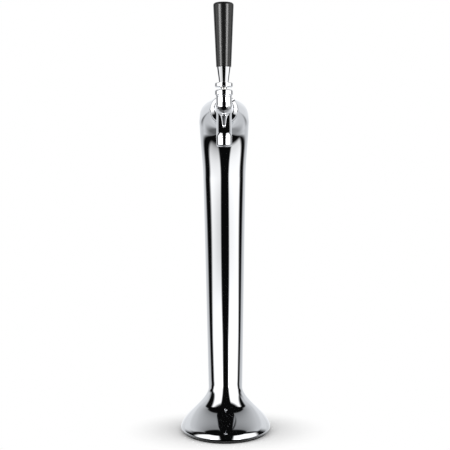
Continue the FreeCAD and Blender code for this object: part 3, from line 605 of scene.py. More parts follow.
@dataclass
class TowerBody:
    """Chrome body: an oval base that sweeps into the column, and a head bent forward into the nose."""

    base_half_width: float = 59.0
    base_half_depth: float = 90.0
    base_offset: float = 2.0
    gasket_thick: float = 2.5
    rim_edge: float = 4.0
    foot_start: float = 9.5
    foot_height: float = 35.0
    skirt_height: float = 61.0
    skirt_depth: float = 20.0
    waist_height: float = 56.0
    waist_half_width: float = 22.2
    waist_half_depth: float = 29.0
    column_taper: float = 0.0205
    column_lean: float = 16.0
    lean_height: float = 230.0
    swell_start: float = 120.0
    neck_height: float = 330.0
    neck_half_depth: float = 37.0
    head_swell: float = 2.9
    head_wide_height: float = 404.0
    head_square_ratio: float = 3.55
    wide_end: float = 0.55
    narrow_power: float = 1.6
    square_full: float = 0.5
    front_pull: Tuple[float, float] = (0.5, 0.28)
    back_pull: Tuple[float, float] = (1.24, 1.03)
    nose_reach: float = 50.0
    nose_radius: float = 18.0
    axis_height: float = 415.0
    wall: float = 4.0
    bore_radius: float = 9.6
    nose_edge: float = 0.8
    bore_bevel: float = 0.4
    hollow_height: float = 60.0
    shy: float = 0.05
    boss_places: Tuple[float, float] = (33.0, 48.0)
    boss_radius: float = 8.0
    boss_height: float = 20.0
    insert_radius: float = 4.0
    insert_length: float = 12.0
    count: int = 224

    @staticmethod
    def flare(height: float, start: float, top: float) -> float:
        """Share of a spread of the base that is left at one height, for one that dies out over a span."""
        return 1.0 - ease((height - start) / (top - start))

    def middle(self, height: float) -> float:
        """Y of the column's middle."""
        return self.base_offset + self.column_lean * math.sin(math.pi / 2 * height / self.lean_height)

    def depth(self, height: float) -> float:
        """Half of the column's depth: a steep foot over an upright rim, under a longer skirt."""
        rise = ease((height - self.swell_start) / (self.neck_height - self.swell_start))
        foot = self.base_half_depth - self.waist_half_depth - self.skirt_depth
        spread = foot * self.flare(height, self.foot_start, self.foot_height)
        spread += self.skirt_depth * self.flare(height, self.gasket_thick, self.skirt_height)
        return self.waist_half_depth + spread + (self.neck_half_depth - self.waist_half_depth) * rise

    def width(self, height: float) -> float:
        """Half of the body's width."""
        spread = self.base_half_width - self.waist_half_width
        spread *= self.flare(height, self.gasket_thick, self.waist_height)
        taper = self.column_taper * max(height - self.waist_height, 0.0)
        swell = ease((height - self.neck_height) / (self.head_wide_height - self.neck_height))
        return self.waist_half_width + spread + taper + self.head_swell * swell

    def level(self, height: float) -> Section:
        """Section of the base or the column at one height."""
        front, back = (
            np.array([self.middle(height) + side * self.depth(height), height]) for side in (-1, 1)
        )
        return Section(front, back, self.width(height))

    def side(self, side: int, end_height: float, rise: float, run: float) -> List[Points]:
        """Corners of the cubic from the neck to the nose, on the front (-1) or back (+1)."""
        neck = self.neck_height
        start = np.array([self.middle(neck) + side * self.depth(neck), neck])
        below = np.array([self.middle(neck - 1) + side * self.depth(neck - 1), neck - 1])
        nose = np.array([-self.nose_reach, end_height])
        return [start, start + (start - below) * rise, nose + np.array([run, 0.0]), nose]

    @staticmethod
    def cubic(corners: Sequence[Points], along: float) -> Points:
        """Point on a cubic curve."""
        back = 1.0 - along
        weights = (back ** 3, 3 * back ** 2 * along, 3 * back * along ** 2, along ** 3)
        return sum(weight * corner for weight, corner in zip(weights, corners))

    def head(self, along: float) -> Section:
        """Section of the head, from the neck at 0 to the face of the nose at 1."""
        length = self.axis_height - self.neck_height
        low, high = self.axis_height - self.nose_radius, self.axis_height + self.nose_radius
        front = self.cubic(self.side(-1, low, *(length * pull for pull in self.front_pull)), along)
        back = self.cubic(self.side(1, high, *(length * pull for pull in self.back_pull)), along)
        narrow = max((along - self.wide_end) / (1.0 - self.wide_end), 0.0) ** self.narrow_power
        wide = self.width((front[1] + back[1]) / 2)
        square = 2.0 + (self.head_square_ratio - 2.0) * ease(along / self.square_full) * (1.0 - narrow)
        return Section(front, back, wide + (self.nose_radius - wide) * narrow, square)

    def disc(self, radius: float, reach: float) -> Points:
        """Ring about the shank's axis."""
        angles = turns(self.count)
        return np.stack([
            radius * np.cos(angles), np.full(self.count, -reach), self.axis_height + radius * np.sin(angles)
        ], 1)

    def stack(self, start: float, end: float, steps: int, inset: float = 0.0) -> List[Points]:
        """Rings from one height to another, without the first."""
        heights = np.linspace(start, end, steps)[1:]
        return [self.level(height).ring(self.count, inset) for height in heights]

    def rows(self) -> List[Points]:
        """Rings of the whole skin: up the outside, into the bore and down the inside."""
        rings = []
        for angle in np.linspace(0.0, math.pi / 2, 12):
            height = self.gasket_thick + self.rim_edge * (1 - math.cos(angle))
            inset = self.rim_edge * (1 - math.sin(angle)) + self.shy
            rings.append(self.level(height).ring(self.count, inset))
        rim = self.gasket_thick + self.rim_edge
        rings += self.stack(rim, self.skirt_height, 80, self.shy)
        rings += self.stack(self.skirt_height, self.neck_height, 90)
        rings += [self.head(a).ring(self.count) for a in np.linspace(0.0, 0.965, 90)[1:]]
        for angle in np.linspace(0.0, math.pi / 2, 6):
            radius = self.nose_radius - self.nose_edge * (1 - math.cos(angle))
            rings.append(self.disc(radius, self.nose_reach - self.nose_edge * (1 - math.sin(angle))))
        rings.append(self.disc(self.bore_radius + self.bore_bevel, self.nose_reach))
        rings.append(self.disc(self.bore_radius, self.nose_reach - self.bore_bevel))
        rings.append(self.disc(self.bore_radius, self.nose_reach * 0.62))
        rings += [self.head(a).ring(self.count, self.wall) for a in np.linspace(0.9, 0.0, 30)]
        rings += self.stack(self.neck_height, self.hollow_height, 30, self.wall)
        rings += self.stack(self.hollow_height, self.gasket_thick, 20, self.wall)
        return rings

    def bosses(self) -> Tuple[Points, Points]:
        """Four bored bosses under the base, held inside the skin."""
        outline = [
            (self.insert_radius, 0.0), (self.boss_radius, 0.0), (self.boss_radius, self.boss_height),
            (0.01, self.boss_height), (0.01, self.insert_length), (self.insert_radius, self.insert_length),
        ]
        count = 40
        angles = turns(count)
        places, faces = [], []
        for wide in (-1, 1):
            for deep in (-1, 1):
                first = sum(len(rows) for rows in places)
                for radius, height in outline:
                    centre = self.middle(self.gasket_thick) + deep * self.boss_places[1]
                    ring = np.stack([
                        wide * self.boss_places[0] + radius * np.cos(angles),
                        centre + radius * np.sin(angles),
                        np.full(count, self.gasket_thick + height),
                    ], 1)
                    places.append(self.kept_in(ring))
                faces.append(first + ring_faces(len(outline), count))
        return np.concatenate(places), np.concatenate(faces)

    def kept_in(self, ring: Points) -> Points:
        """Draws points in until they lie within the wall."""
        for point in ring:
            middle = self.middle(point[2])
            wide = self.width(point[2]) - self.wall / 2
            deep = self.depth(point[2]) - self.wall / 2
            size = math.hypot(point[0] / wide, (point[1] - middle) / deep)
            if size > 1:
                point[0] /= size
                point[1] = middle + (point[1] - middle) / size
        return ring

    def build(self) -> None:
        """Makes the body and dresses it."""
        rings = self.rows()
        places = np.concatenate(rings)
        faces = ring_faces(len(rings), self.count)
        boss_places, boss_faces = self.bosses()
        mesh = smooth_mesh(
            "tower_skin", np.concatenate([places, boss_places]),
            np.concatenate([faces, boss_faces + len(places)]),
        )
        mesh.set_sharp_from_angle(angle=math.radians(40))
        Piece("tower_skin", mesh).dress(SHELL_CHROME_WITH_PAINTED_FOOT_SHADE, Body.TOWER, "tower_shell")


def ring_faces(rows: int, count: int) -> Points:
    """Works out the faces between rings of points, the last of which joins the first."""
    starts = np.arange(rows)[:, None] * count
    ends = (starts + count) % (rows * count)
    here = np.arange(count)[None]
    there = np.roll(np.arange(count), -1)[None]
    return np.stack([starts + here, starts + there, ends + there, ends + here], 2).reshape(-1, 4)


# Cast forms


@dataclass
class FaucetCasting:
    """Cast faucet body, whose parts run into each other with soft fillets; the spout slants forward."""

    axis_height: float = 415.0
    back: float = 63.2
    flange_front: float = 67.0
    flange_radius: float = 13.6
    rear_radius: float = 11.6
    cone_start: float = 78.0
    cone_end: float = 92.0
    radius: float = 9.4
    lever_reach: float = 108.0
    chimney_radius: float = 9.4
    chimney_height: float = 12.3
    thread_radius: float = 8.5
    thread_height: float = 16.0
    branch_reach: float = 80.0
    spout_reach: float = 108.0
    spout_drop: float = 48.0
    outlet_length: float = 12.0
    spout_bore: float = 6.8
    spout_edge: float = 2.4
    branch_bore: float = 5.0
    seat_chamber: float = 8.0
    chimney_bore: float = 6.8
    seat_depth: float = 8.8
    chimney_floor: float = 7.0
    fillet: float = 1.6
    seam: float = 0.2
    edge: float = 0.3
    bore_edge: float = 0.35
    step: float = 0.42
    grid_side: float = 15.0
    grid_room: float = 1.5

    @staticmethod
    def merge(first: Points, second: Points, fillet: float) -> Points:
        """Joins two distance fields with a fillet between them."""
        share = np.clip(0.5 + 0.5 * (second - first) / fillet, 0, 1)
        return second + (first - second) * share - fillet * share * (1 - share)

    @staticmethod
    def rod(
        across: Points, along: Points, radius: Union[float, Points], start: float, end: float, edge: float
    ) -> Points:
        """Distance to a capped rod with rounded ends, for places across and along it; negative inside."""
        side = across - radius + edge
        cap = np.abs(along - (start + end) / 2) - (end - start) / 2 + edge
        outside = np.hypot(np.maximum(side, 0), np.maximum(cap, 0))
        return outside + np.minimum(np.maximum(side, cap), 0) - edge

    def field(self, places: Points) -> Points:
        """Signed distance to the casting; places are x, reach and height over the axis."""
        x, reach, up = places[..., 0], places[..., 1], places[..., 2]
        from_axis = np.hypot(x, up)
        share = np.clip((reach - self.cone_start) / (self.cone_end - self.cone_start), 0, 1)
        barrel_radius = self.rear_radius + (self.radius - self.rear_radius) * share
        barrel = self.rod(from_axis, reach, barrel_radius, self.back, self.lever_reach, self.seam)
        dome = np.sqrt(x ** 2 + (reach - self.lever_reach) ** 2 + up ** 2) - self.radius
        from_lever = np.hypot(x, reach - self.lever_reach)
        chimney = self.rod(from_lever, up, self.chimney_radius, 0.0, self.chimney_height, self.edge)
        thread = self.rod(from_lever, up, self.thread_radius, 0.0, self.thread_height, self.edge)
        run, drop = self.spout_reach - self.branch_reach, self.spout_drop - self.outlet_length
        length = math.hypot(run, drop)
        down = (reach - self.branch_reach) * run / length - up * drop / length
        off = (reach - self.branch_reach) * drop / length + up * run / length
        held = np.clip(down, 0, length)
        from_branch = np.sqrt((down - held) ** 2 + off ** 2 + x ** 2)
        from_spout = np.hypot(x, reach - self.spout_reach)
        from_elbow = np.sqrt(from_spout ** 2 + (up + drop) ** 2)
        top = self.radius - drop
        spout = self.rod(from_spout, up, self.radius, -self.spout_drop, top, self.spout_edge)
        spout = np.where(up > -drop, from_elbow - self.radius, spout)
        solid = self.merge(barrel, dome, self.seam)
        solid = self.merge(solid, from_branch - self.radius, self.fillet)
        solid = self.merge(solid, spout, self.edge)
        solid = self.merge(solid, chimney, self.fillet)
        flange = self.rod(from_axis, reach, self.flange_radius, self.back, self.flange_front, self.edge)
        solid = np.minimum(solid, thread)
        solid = self.merge(solid, flange, self.edge)
        seat = np.maximum(from_axis - self.seat_chamber, reach - self.back - self.seat_depth)
        bore = from_branch - self.branch_bore
        for other in (
            np.maximum(from_spout - self.spout_bore, up + drop), from_elbow - self.spout_bore,
            seat, np.maximum(from_lever - self.chimney_bore, self.chimney_floor - up),
        ):
            bore = np.minimum(bore, other)
        return self.merge(-solid, bore, self.bore_edge) * -1.0

    def slope(self, places: Points) -> Points:
        """Direction in which the distance grows fastest."""
        small = 0.02
        steps = [np.eye(3)[axis] * small for axis in range(3)]
        return np.stack([self.field(places + s) - self.field(places - s) for s in steps], -1) / (2 * small)

    def net(self) -> Tuple[Points, Points]:
        """Nets the surface on a grid and draws each knot onto it."""
        room, side = self.grid_room, self.grid_side
        low = np.array([-side, self.back - room, -self.spout_drop - room])
        high = np.array([side, self.lever_reach + self.chimney_radius + room, self.thread_height + room])
        size = np.ceil((high - low) / self.step).astype(int)
        axes = [low[k] + self.step * np.arange(size[k]) for k in range(3)]
        grid = np.stack(np.meshgrid(*axes, indexing="ij"), -1)
        inside = self.field(grid) < 0
        corners = [inside[a:size[0] - 1 + a, b:size[1] - 1 + b, c:size[2] - 1 + c]
                   for a in (0, 1) for b in (0, 1) for c in (0, 1)]
        total = sum(corner.astype(np.int8) for corner in corners)
        cells = (total > 0) & (total < 8)
        numbers = np.full(cells.shape, -1)
        numbers[cells] = np.arange(int(cells.sum()))
        knots = low + (np.argwhere(cells) + 0.5) * self.step
        faces = []
        for axis in range(3):
            first, second = (axis + 1) % 3, (axis + 2) % 3
            spans = [slice(1, n - 1) for n in size]
            spans[axis] = slice(0, size[axis] - 1)
            ahead = list(spans)
            ahead[axis] = slice(1, size[axis])
            here, there = inside[tuple(spans)], inside[tuple(ahead)]
            for crossed, order in ((here & ~there, (0, 1, 2, 3)), (~here & there, (3, 2, 1, 0))):
                found = np.argwhere(crossed)
                found += np.array([0 if k == axis else 1 for k in range(3)])
                around = []
                for back_first, back_second in ((1, 1), (0, 1), (0, 0), (1, 0)):
                    cell = found.copy()
                    cell[:, first] -= back_first
                    cell[:, second] -= back_second
                    around.append(numbers[cell[:, 0], cell[:, 1], cell[:, 2]])
                faces.append(np.stack([around[k] for k in order], 1))
        return knots, np.concatenate(faces)

    def build(self) -> None:
        """Makes the casting and dresses it."""
        knots, faces = self.net()
        for _ in range(6):
            slope = self.slope(knots)
            steep = np.maximum(np.sum(slope ** 2, 1), 0.2)
            knots = knots - slope * (np.clip(self.field(knots), -0.4, 0.4) / steep)[:, None]
        slope = self.slope(knots)
        slope /= np.linalg.norm(slope, axis=1, keepdims=True)
        places = np.stack([knots[:, 0], -knots[:, 1], knots[:, 2] + self.axis_height], 1)
        normals = np.stack([slope[:, 0], -slope[:, 1], slope[:, 2]], 1)
        faces = faces[:, ::-1]
        mesh = smooth_mesh("faucet_casting", places, faces, normals[faces.reshape(-1)])
        Piece("faucet_casting", mesh).dress(CAST_CHROME, Body.TOWER, "faucet_body")


@dataclass
class Coupling:
    """Flange ring on the nose and the ring nut that draws the faucet on."""

    nose_reach: float = 50.0
    flange_radius: float = 16.5
    flange_thick: float = 3.0
    shank_clear: float = 9.6
    rear: float = 54.2
    flange_front: float = 67.0
    front: float = 70.5
    radius: float = 17.6
    bore: float = 14.25
    lip_bore: float = 12.0
    rim: float = 0.8
    slope: float = 2.9
    rear_bevel: float = 0.8
    bevel_drop: float = 0.9
    bevel_back: float = 1.3
    bevel_ahead: float = 0.55
    hole_radius: float = 2.0
    hole_depth: float = 2.6
    hole_back: float = 3.0
    hole_angle: float = 45.0
    drill_over: float = 1.0
    axis_height: float = 415.0

    def build(self) -> None:
        """Makes the flange ring and the nut and dresses them."""
        foot, face = self.nose_reach, self.nose_reach + self.flange_thick
        LATHE.piece("shank_ring", "shank_flange", Body.TOWER, CHROME, Lay.FORWARD, 160, [
            Corner(self.shank_clear, foot), Corner(self.flange_radius, foot, 0.25),
            Corner(self.flange_radius, face, 1.0), Corner(self.shank_clear, face),
        ])
        sloped = self.front - self.slope
        nut = LATHE.piece("ring_nut", "coupling_nut", Body.TOWER, CHROME, Lay.FORWARD, 240, [
            Corner(self.bore, self.rear), Corner(self.radius - self.rear_bevel, self.rear, 0.2),
            Corner(self.radius, self.rear + self.rear_bevel, 0.3),
            Corner(self.radius, sloped - self.bevel_back, 0.3),
            Corner(self.radius - self.bevel_drop, sloped + self.bevel_ahead, 0.2),
            Corner(self.lip_bore + self.rim, self.front, 0.6), Corner(self.lip_bore, self.front, 0.2),
            Corner(self.lip_bore, self.flange_front), Corner(self.bore, self.flange_front),
        ])
        self.drill(nut.item)

    def drill(self, nut: bpy.types.Object) -> None:
        """Sinks the spanner hole into the nut's sloped rim."""
        middle = (self.radius - self.hole_depth / 2 + self.drill_over) * math.sqrt(0.5)
        end = self.hole_depth / 2 + self.drill_over
        mesh = LATHE.turn("spanner_drill", [
            Corner(0, -end), Corner(self.hole_radius, -end, 0.4),
            Corner(self.hole_radius, end), Corner(0, end),
        ], Lay.FORWARD, 40)
        mesh.transform(Matrix.Translation((0, 0, -self.axis_height * MM)))
        mesh.transform(Matrix.Rotation(math.radians(-90), 4, "X"))
        mesh.transform(Matrix.Rotation(math.radians(self.hole_angle), 4, "Y"))
        place = Vector((middle, -(self.front - self.hole_back), self.axis_height + middle)) * MM
        mesh.transform(Matrix.Translation(place))
        drill = bpy.data.objects.new("spanner_drill", mesh)
        bpy.context.scene.collection.objects.link(drill)
        cut = nut.modifiers.new("drill", "BOOLEAN")
        cut.operation = "DIFFERENCE"
        cut.solver = "EXACT"
        cut.object = drill
        bpy.context.view_layer.update()
        graph = bpy.context.evaluated_depsgraph_get()
        made = bpy.data.meshes.new_from_object(nut.evaluated_get(graph))
        nut.modifiers.clear()
        nut.data = made
        bpy.data.objects.remove(drill)


@dataclass
class LeverParts:
    """Bonnet over the chimney, and the collar, ferrule and grip on the lever."""

    chimney_neck: float = 427.3
    under: float = 432.5
    bonnet_top: float = 435.5
    bonnet_radius: float = 10.9
    bonnet_foot: float = 9.7
    bonnet_step: float = 2.0
    bonnet_hole: float = 6.6
    bonnet_edge: float = 1.8
    thread_clear: float = 8.55
    collar_foot: float = 438.3
    collar_top: float = 443.8
    collar_radius: float = 10.9
    collar_chamfer: float = 1.2
    lever_clear: float = 4.75
    ferrule_top: float = 463.0
    ferrule_foot_radius: float = 5.7
    ferrule_top_radius: float = 8.4
    lever_top: float = 453.8
    stud_clear: float = 3.25
    grip_top: float = 540.0
    grip_foot_radius: float = 9.1
    grip_top_radius: float = 12.5
    grip_edge: float = 3.0
    grip_hole_top: float = 484.0

    def build(self) -> None:
        """Makes the pieces up the lever and dresses them."""
        step = self.chimney_neck + self.bonnet_step
        LATHE.piece("bonnet_cap", "bonnet", Body.TOWER, CAST_CHROME, Lay.UPRIGHT, 160, [
            Corner(self.thread_clear, self.chimney_neck), Corner(self.bonnet_foot, self.chimney_neck, 0.3),
            Corner(self.bonnet_foot, step - 0.3, 0.2), Corner(self.bonnet_radius, step, 0.5),
            Corner(self.bonnet_radius, self.bonnet_top, self.bonnet_edge),
            Corner(self.bonnet_hole, self.bonnet_top, 0.3), Corner(self.bonnet_hole, self.under),
            Corner(self.thread_clear, self.under),
        ])
        LATHE.piece("lock_collar", "lever_collar", Body.LEVER, CAST_CHROME, Lay.UPRIGHT, 160, [
            Corner(self.lever_clear, self.collar_foot),
            Corner(self.collar_radius - self.collar_chamfer, self.collar_foot, 0.3),
            Corner(self.collar_radius, self.collar_foot + self.collar_chamfer, 0.5),
            Corner(self.collar_radius, self.collar_top, 1.0), Corner(self.lever_clear, self.collar_top),
        ])
        LATHE.piece("grip_ferrule", "ferrule", Body.LEVER, CHROME, Lay.UPRIGHT, 128, [
            Corner(self.lever_clear, self.collar_top),
            Corner(self.ferrule_foot_radius, self.collar_top, 0.7),
            Corner(self.ferrule_top_radius, self.ferrule_top, 0.3),
            Corner(self.stud_clear, self.ferrule_top),
            Corner(self.stud_clear, self.lever_top), Corner(self.lever_clear, self.lever_top),
        ])
        LATHE.piece("pull_grip", "tap_handle", Body.LEVER, GRIP, Lay.UPRIGHT, 128, [
            Corner(self.stud_clear, self.ferrule_top), Corner(self.grip_foot_radius, self.ferrule_top, 0.5),
            Corner(self.grip_top_radius, self.grip_top, self.grip_edge), Corner(0, self.grip_top),
            Corner(0, self.grip_hole_top), Corner(self.stud_clear, self.grip_hole_top),
        ])


@dataclass
class InnerParts:
    """The nodes that keep their CAD meshes, each with its finish."""

    finishes: Tuple[Tuple[Finish, str], ...] = (
        (RUBBER, "base_gasket tail_seal coupling_seal seat_washer shaft_ring"),
        (BRASS, "base_inserts"),
        (FOAM, "foam_insulation"),
        (HOSE, "beer_line"),
        (STEEL, "line_clamps shank_grub_screw valve_shaft seat_nut lever handle_stud"),
        (PLATED, "line_tail swivel_nut shank"),
        (NYLON, "ball_washer friction_ring"),
    )

    def build(self) -> None:
        """Dresses each node."""
        for finish, names in self.finishes:
            for name in names.split():
                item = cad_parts[name]
                item.data.materials.clear()
                item.data.materials.append(finish.material())
                LOG.info("%s: keeps its mesh, finished as %s", name, finish.name)


# Studio


@dataclass(frozen=True)
class Softbox:
    """The edges of a softbox in degrees, and how far they lean in for each degree of height."""

    side: float
    start: Span
    start_below: float
    start_above: float
    end: Span
    end_below: float
    end_lean: float
    end_step: float
    foot: Tuple[Span, Span]
    foot_share: float
    top: Span


@dataclass
class Room:
    """What the chrome reflects, laid out by direction: floor, walls, ceiling, dark gaps and softboxes.

    Spans are in degrees, except those across, which are shares of a direction pointing right.
    """

    graph: Graph
    cool: Colour = (0.955, 0.975, 1.0)
    black: float = 0.003
    box_level: float = 1.12
    core_level: float = 15.0
    core_aside: Tuple[Span, Span] = ((28.0, 42.0), (42.0, 66.0))
    core_lift: Tuple[Span, Span] = ((-1.0, 1.0), (6.0, 10.0))
    wall_side: float = 0.554
    wall_steps: Tuple[Tuple[Span, float], ...] = (((120.0, 150.0), 0.731), ((150.0, 178.0), 1.028))
    floor_rake: float = 0.4545
    floor_start: Span = (61.0, 67.0)
    floor_front: Span = (0.115, 0.282)
    floor_turn: Span = (-20.0, 20.0)
    floor_steps: Tuple[Tuple[Span, float], ...] = (
        ((84.0, 126.0), 0.573), ((135.0, 160.0), 0.708), ((155.0, 178.0), 1.028),
    )
    edge_level: float = 0.12
    edge_rake: Tuple[Span, Span] = ((62.5, 66.0), (66.0, 72.0))
    edge_aside: Tuple[Span, Span] = ((60.0, 95.0), (115.0, 130.0))
    rail_across: Tuple[Span, Span] = ((-0.075, -0.04), (0.11, 0.15))
    rail_lift: Span = (30.0, 45.0)
    overhead_lift: Span = (47.5, 52.5)
    overhead_rear: float = 130.0
    overhead_fall: float = 0.2
    seam_level: float = 0.8
    seam_aside: Span = (88.0, 92.0)
    seam_across: Tuple[Span, Span] = ((0.02, 0.034), (0.034, 0.048))
    seam_lift: Span = (48.0, 52.0)
    knob_across: Tuple[Span, Span] = ((0.005, 0.034), (0.034, 0.065))
    knob_lift: Span = (62.0, 66.0)
    ceiling_lift: Span = (5.0, 25.0)
    ceiling: Tuple[Span, ...] = (
        (15.0, 0.657), (30.0, 0.554), (40.0, 0.405), (50.0, 0.248), (60.0, 0.178),
        (70.0, 0.137), (75.0, 0.07), (80.0, 0.0075), (90.0, 0.002),
    )
    gap_low: float = 10.0
    gap_lean: Span = (2.0, 0.8)
    gap_left: Span = (134.0, 154.0)
    gap_right: Span = (130.0, 148.0)
    gap_high: Span = (116.0, 126.0)
    gap_lift: Span = (15.0, 25.0)
    lean_from: float = 8.0
    lean_step: float = 12.0
    softboxes: Tuple[Softbox, ...] = (
        Softbox(-1.0, (15.0, 25.0), 0.8, 0.25, (99.0, 113.0), 1.8, 0.4, 0.6,
                ((-22.0, -11.0), (-13.0, -3.0)), 0.5, (46.5, 50.5)),
        Softbox(1.0, (20.0, 29.0), 0.9, 0.3, (104.0, 117.0), 1.2, 0.7, -0.7,
                ((-22.0, -15.0), (-15.0, -4.0)), 0.7, (45.0, 49.0)),
    )

    def __post_init__(self) -> None:
        """Turns the direction looked in into angles in degrees.

        turn is 0 on the camera's side and positive to the right, lift is the height above the
        horizon, aside is turn without its sign, across is how far right a direction points.
        """
        direction = self.graph.add("TexCoord", outlet="Generated")
        self.across, back, upward = (
            self.graph.add("SeparateXYZ", values={0: direction}, outlet=axis) for axis in range(3)
        )
        self.turn = self.graph.maths("ARCTAN2", self.across, 0.0 - back) * math.degrees(1.0)
        self.lift = self.graph.maths("ARCSINE", upward, 0.0) * math.degrees(1.0)
        self.aside = abs(self.turn)
        self.above = self.lift.at_least(0.0)
        self.below = (0.0 - self.lift).at_least(0.0)
        self.rake = self.aside * self.floor_rake - self.lift

    @staticmethod
    def blend(share: Term, first: TermOrNumber, second: TermOrNumber) -> Term:
        """Adds a blend of two numbers."""
        return first * (1.0 - share) + second * share

    @staticmethod
    def band(value: Term, low: Span, high: Span) -> Term:
        """Adds a mask that rises over one span and falls over another."""
        return value.rise(*low) * (1.0 - value.rise(*high))

    def stepped(self, level: TermOrNumber, steps: Sequence[Tuple[Span, float]]) -> Term:
        """Changes a level in steps from the front round to the back."""
        for span, following in steps:
            level = self.blend(self.aside.rise(*span), level, following)
        return level

    def shade(self) -> Term:
        """Gives the colour seen in each direction."""
        colour = self.graph.mix(self.walls(), grey(0.0), tint(self.cool))
        colour = self.graph.mix(self.boxes(), colour, grey(self.box_level))
        cores = self.band(self.aside, *self.core_aside) * self.band(self.lift, *self.core_lift)
        return self.graph.mix(cores, colour, grey(self.core_level))

    def walls(self) -> Term:
        """Gives the level of everything but the softboxes."""
        floor = self.rake.rise(*self.floor_start)
        level = self.blend(floor, self.upper(), self.floor())
        rail = self.band(self.across, *self.rail_across) * self.lift.rise(*self.rail_lift)
        overhead = self.lift - (self.aside - self.overhead_rear).at_least(0.0) * self.overhead_fall
        dark = (self.gaps() * (1.0 - floor)).at_least(rail).at_least(overhead.rise(*self.overhead_lift))
        seam = self.band(self.across, *self.seam_across) * self.lift.rise(*self.seam_lift)
        knobs = self.band(self.across, *self.knob_across) * self.lift.rise(*self.knob_lift)
        seam = seam.at_least(knobs) * self.aside.rise(*self.seam_aside)
        return self.blend(dark, level, self.black) + seam * self.seam_level

    def floor(self) -> Term:
        """Gives the floor's level: dark in front, brighter to the right, white at the back."""
        level = self.blend(self.turn.rise(*self.floor_turn), *self.floor_front)
        edge = self.band(self.rake, *self.edge_rake) * self.band(self.aside, *self.edge_aside)
        return self.stepped(level, self.floor_steps) + edge * self.edge_level

    def upper(self) -> Term:
        """Gives the level of the walls and of the ceiling, which darkens with height."""
        stops = [(lift / 90, (level,) * 3) for lift, level in self.ceiling]
        ceiling = self.graph.add("ValToRGB", {"stops": stops}, {0: self.lift * (1 / 90)})
        wall = self.stepped(self.wall_side, self.wall_steps)
        return wall.at_most(self.blend(self.lift.rise(*self.ceiling_lift), 1.0, ceiling))

    def gaps(self) -> Term:
        """Masks the dark gaps between the softboxes and the walls."""
        low = self.above.at_most(self.gap_low)
        left = 1.0 - (low * self.gap_lean[0] - self.turn).rise(*self.gap_left)
        right = 1.0 - (low * self.gap_lean[1] + self.turn).rise(*self.gap_right)
        sides = self.blend(self.turn.rise(-1.0, 1.0), left, right)
        return self.blend(self.lift.rise(*self.gap_lift), sides, 1.0 - self.aside.rise(*self.gap_high))

    def boxes(self) -> Term:
        """Masks the two softboxes, whose outer edges lean in towards the top and the floor."""
        lean = (self.lift - self.lean_from).at_least(0.0)
        step = lean.at_most(self.lean_step)
        masks = []
        for box in self.softboxes:
            start = self.turn * box.side - self.below * box.start_below - self.above * box.start_above
            end = self.below * box.end_below + lean * box.end_lean + step * box.end_step
            end = end + self.turn * box.side
            low, high = box.foot
            foot = self.lift.rise(*low) * box.foot_share + self.lift.rise(*high) * (1.0 - box.foot_share)
            sides = start.rise(*box.start) * (1.0 - end.rise(*box.end))
            masks.append(sides * foot * (1.0 - self.lift.rise(*box.top)))
        return masks[0] + masks[1]


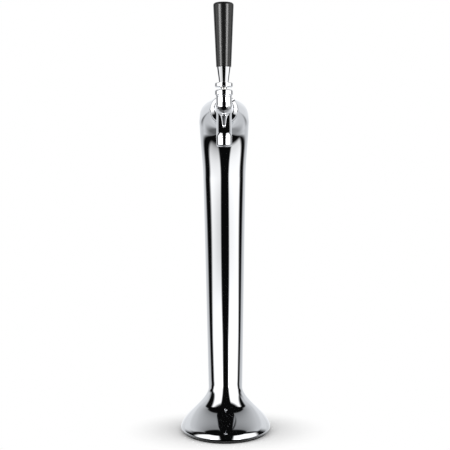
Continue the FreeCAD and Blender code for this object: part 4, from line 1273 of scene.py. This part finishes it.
@dataclass
class Studio:
    """Pale floor, two tall softboxes in front, a pale room behind, and the camera."""

    camera_place: Tuple[float, float, float] = (0.0, -1.5, 0.316)
    aim: Tuple[float, float, float] = (0.0, 0.0, 0.269)
    lens: float = 92.0
    roll: float = -0.3
    aside: float = 0.0005
    floor_level: float = 0.93
    floor_clear: float = 0.05
    floor_fade: float = 0.14
    room_level: float = 0.72
    lamp_size: Span = (1.4, 1.8)
    lamp_energy: float = 9.0
    lamp_place: Tuple[float, float, float] = (1.7, -1.1, 1.2)
    lamp_aim: Tuple[float, float, float] = (0.0, 0.0, 0.25)
    white: float = 1.0

    def build(self) -> None:
        """Makes the floor, the world, the lamps and the camera."""
        self.floor()
        self.world()
        self.lamps()
        self.camera()

    def floor(self) -> None:
        """Lays the floor, which fades into the background away from the tower."""
        size = 3000.0
        corners = np.array([[-size, -size, 0], [size, -size, 0], [size, size, 0], [-size, size, 0]])
        item = bpy.data.objects.new("floor", smooth_mesh("floor", corners, np.array([[0, 1, 2, 3]])))
        bpy.context.scene.collection.objects.link(item)
        item.visible_glossy = False
        material = bpy.data.materials.new("floor_paper")
        material.use_nodes = True
        graph = Graph(material.node_tree)
        away = graph.add("VectorMath", {"operation": "LENGTH"}, {0: graph.place()}, "Value")
        fade = away.rise(self.floor_clear, self.floor_fade)
        grain = graph.noise(180.0, 4.0)
        paper = graph.mix(grain, grey(self.floor_level), grey(self.floor_level * 0.985))
        matt = graph.add("BsdfDiffuse", values={"Color": paper})
        glow = graph.add("Emission", values={"Color": grey(self.white), "Strength": 1.0})
        seen = graph.add("LightPath", outlet="Is Camera Ray")
        shader = graph.add("MixShader", values={0: fade * seen, 1: matt, 2: glow})
        graph.add("OutputMaterial", values={"Surface": shader})
        item.data.materials.append(material)

    def world(self) -> None:
        """Paints the room: white to the camera, a studio in reflections, even light elsewhere."""
        world = bpy.data.worlds.new("studio_room")
        bpy.context.scene.world = world
        world.use_nodes = True
        graph = Graph(world.node_tree)
        path = graph.add("LightPath", outlet="Is Glossy Ray")
        camera = graph.add("LightPath", outlet="Is Camera Ray")
        lit = graph.mix(path, grey(self.room_level), Room(graph).shade())
        shown = graph.mix(camera, lit, grey(self.white))
        background = graph.add("Background", values={"Color": shown, "Strength": 1.0})
        graph.add("OutputWorld", values={"Surface": background})

    def lamps(self) -> None:
        """Hangs two soft lamps that light the matt pieces and the floor."""
        for name, side in (("lamp_left", -1), ("lamp_right", 1)):
            lamp = bpy.data.lights.new(name, "AREA")
            lamp.shape = "RECTANGLE"
            lamp.size, lamp.size_y = self.lamp_size
            lamp.energy = self.lamp_energy
            item = bpy.data.objects.new(name, lamp)
            bpy.context.scene.collection.objects.link(item)
            item.location = (side * self.lamp_place[0], *self.lamp_place[1:])
            look = Vector(self.lamp_aim) - item.location
            item.rotation_euler = look.to_track_quat("-Z", "Y").to_euler()
            item.visible_glossy = False
            item.visible_camera = False

    def camera(self) -> None:
        """Places the camera as the photograph was taken."""
        data = bpy.data.cameras.new("camera")
        data.lens = self.lens
        data.sensor_width = 36.0
        item = bpy.data.objects.new("camera", data)
        bpy.context.scene.collection.objects.link(item)
        item.location = Vector(self.camera_place) + Vector((self.aside, 0, 0))
        look = Vector(self.aim) + Vector((self.aside, 0, 0)) - item.location
        turned = look.to_track_quat("-Z", "Y").to_matrix().to_4x4()
        item.rotation_euler = (turned @ Matrix.Rotation(math.radians(self.roll), 4, "Z")).to_euler()
        bpy.context.scene.camera = item
        bpy.context.scene.view_settings.view_transform = "Standard"


def main() -> None:
    """Builds the tower and its studio in order."""
    logging.basicConfig(level=logging.INFO, format="%(name)s: %(message)s")
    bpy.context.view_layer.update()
    for part in (TowerBody(), Coupling(), FaucetCasting(), LeverParts(), InnerParts(), Studio()):
        LOG.info("building %s", type(part).__name__)
        part.build()


if __name__ == "__main__":
    main()
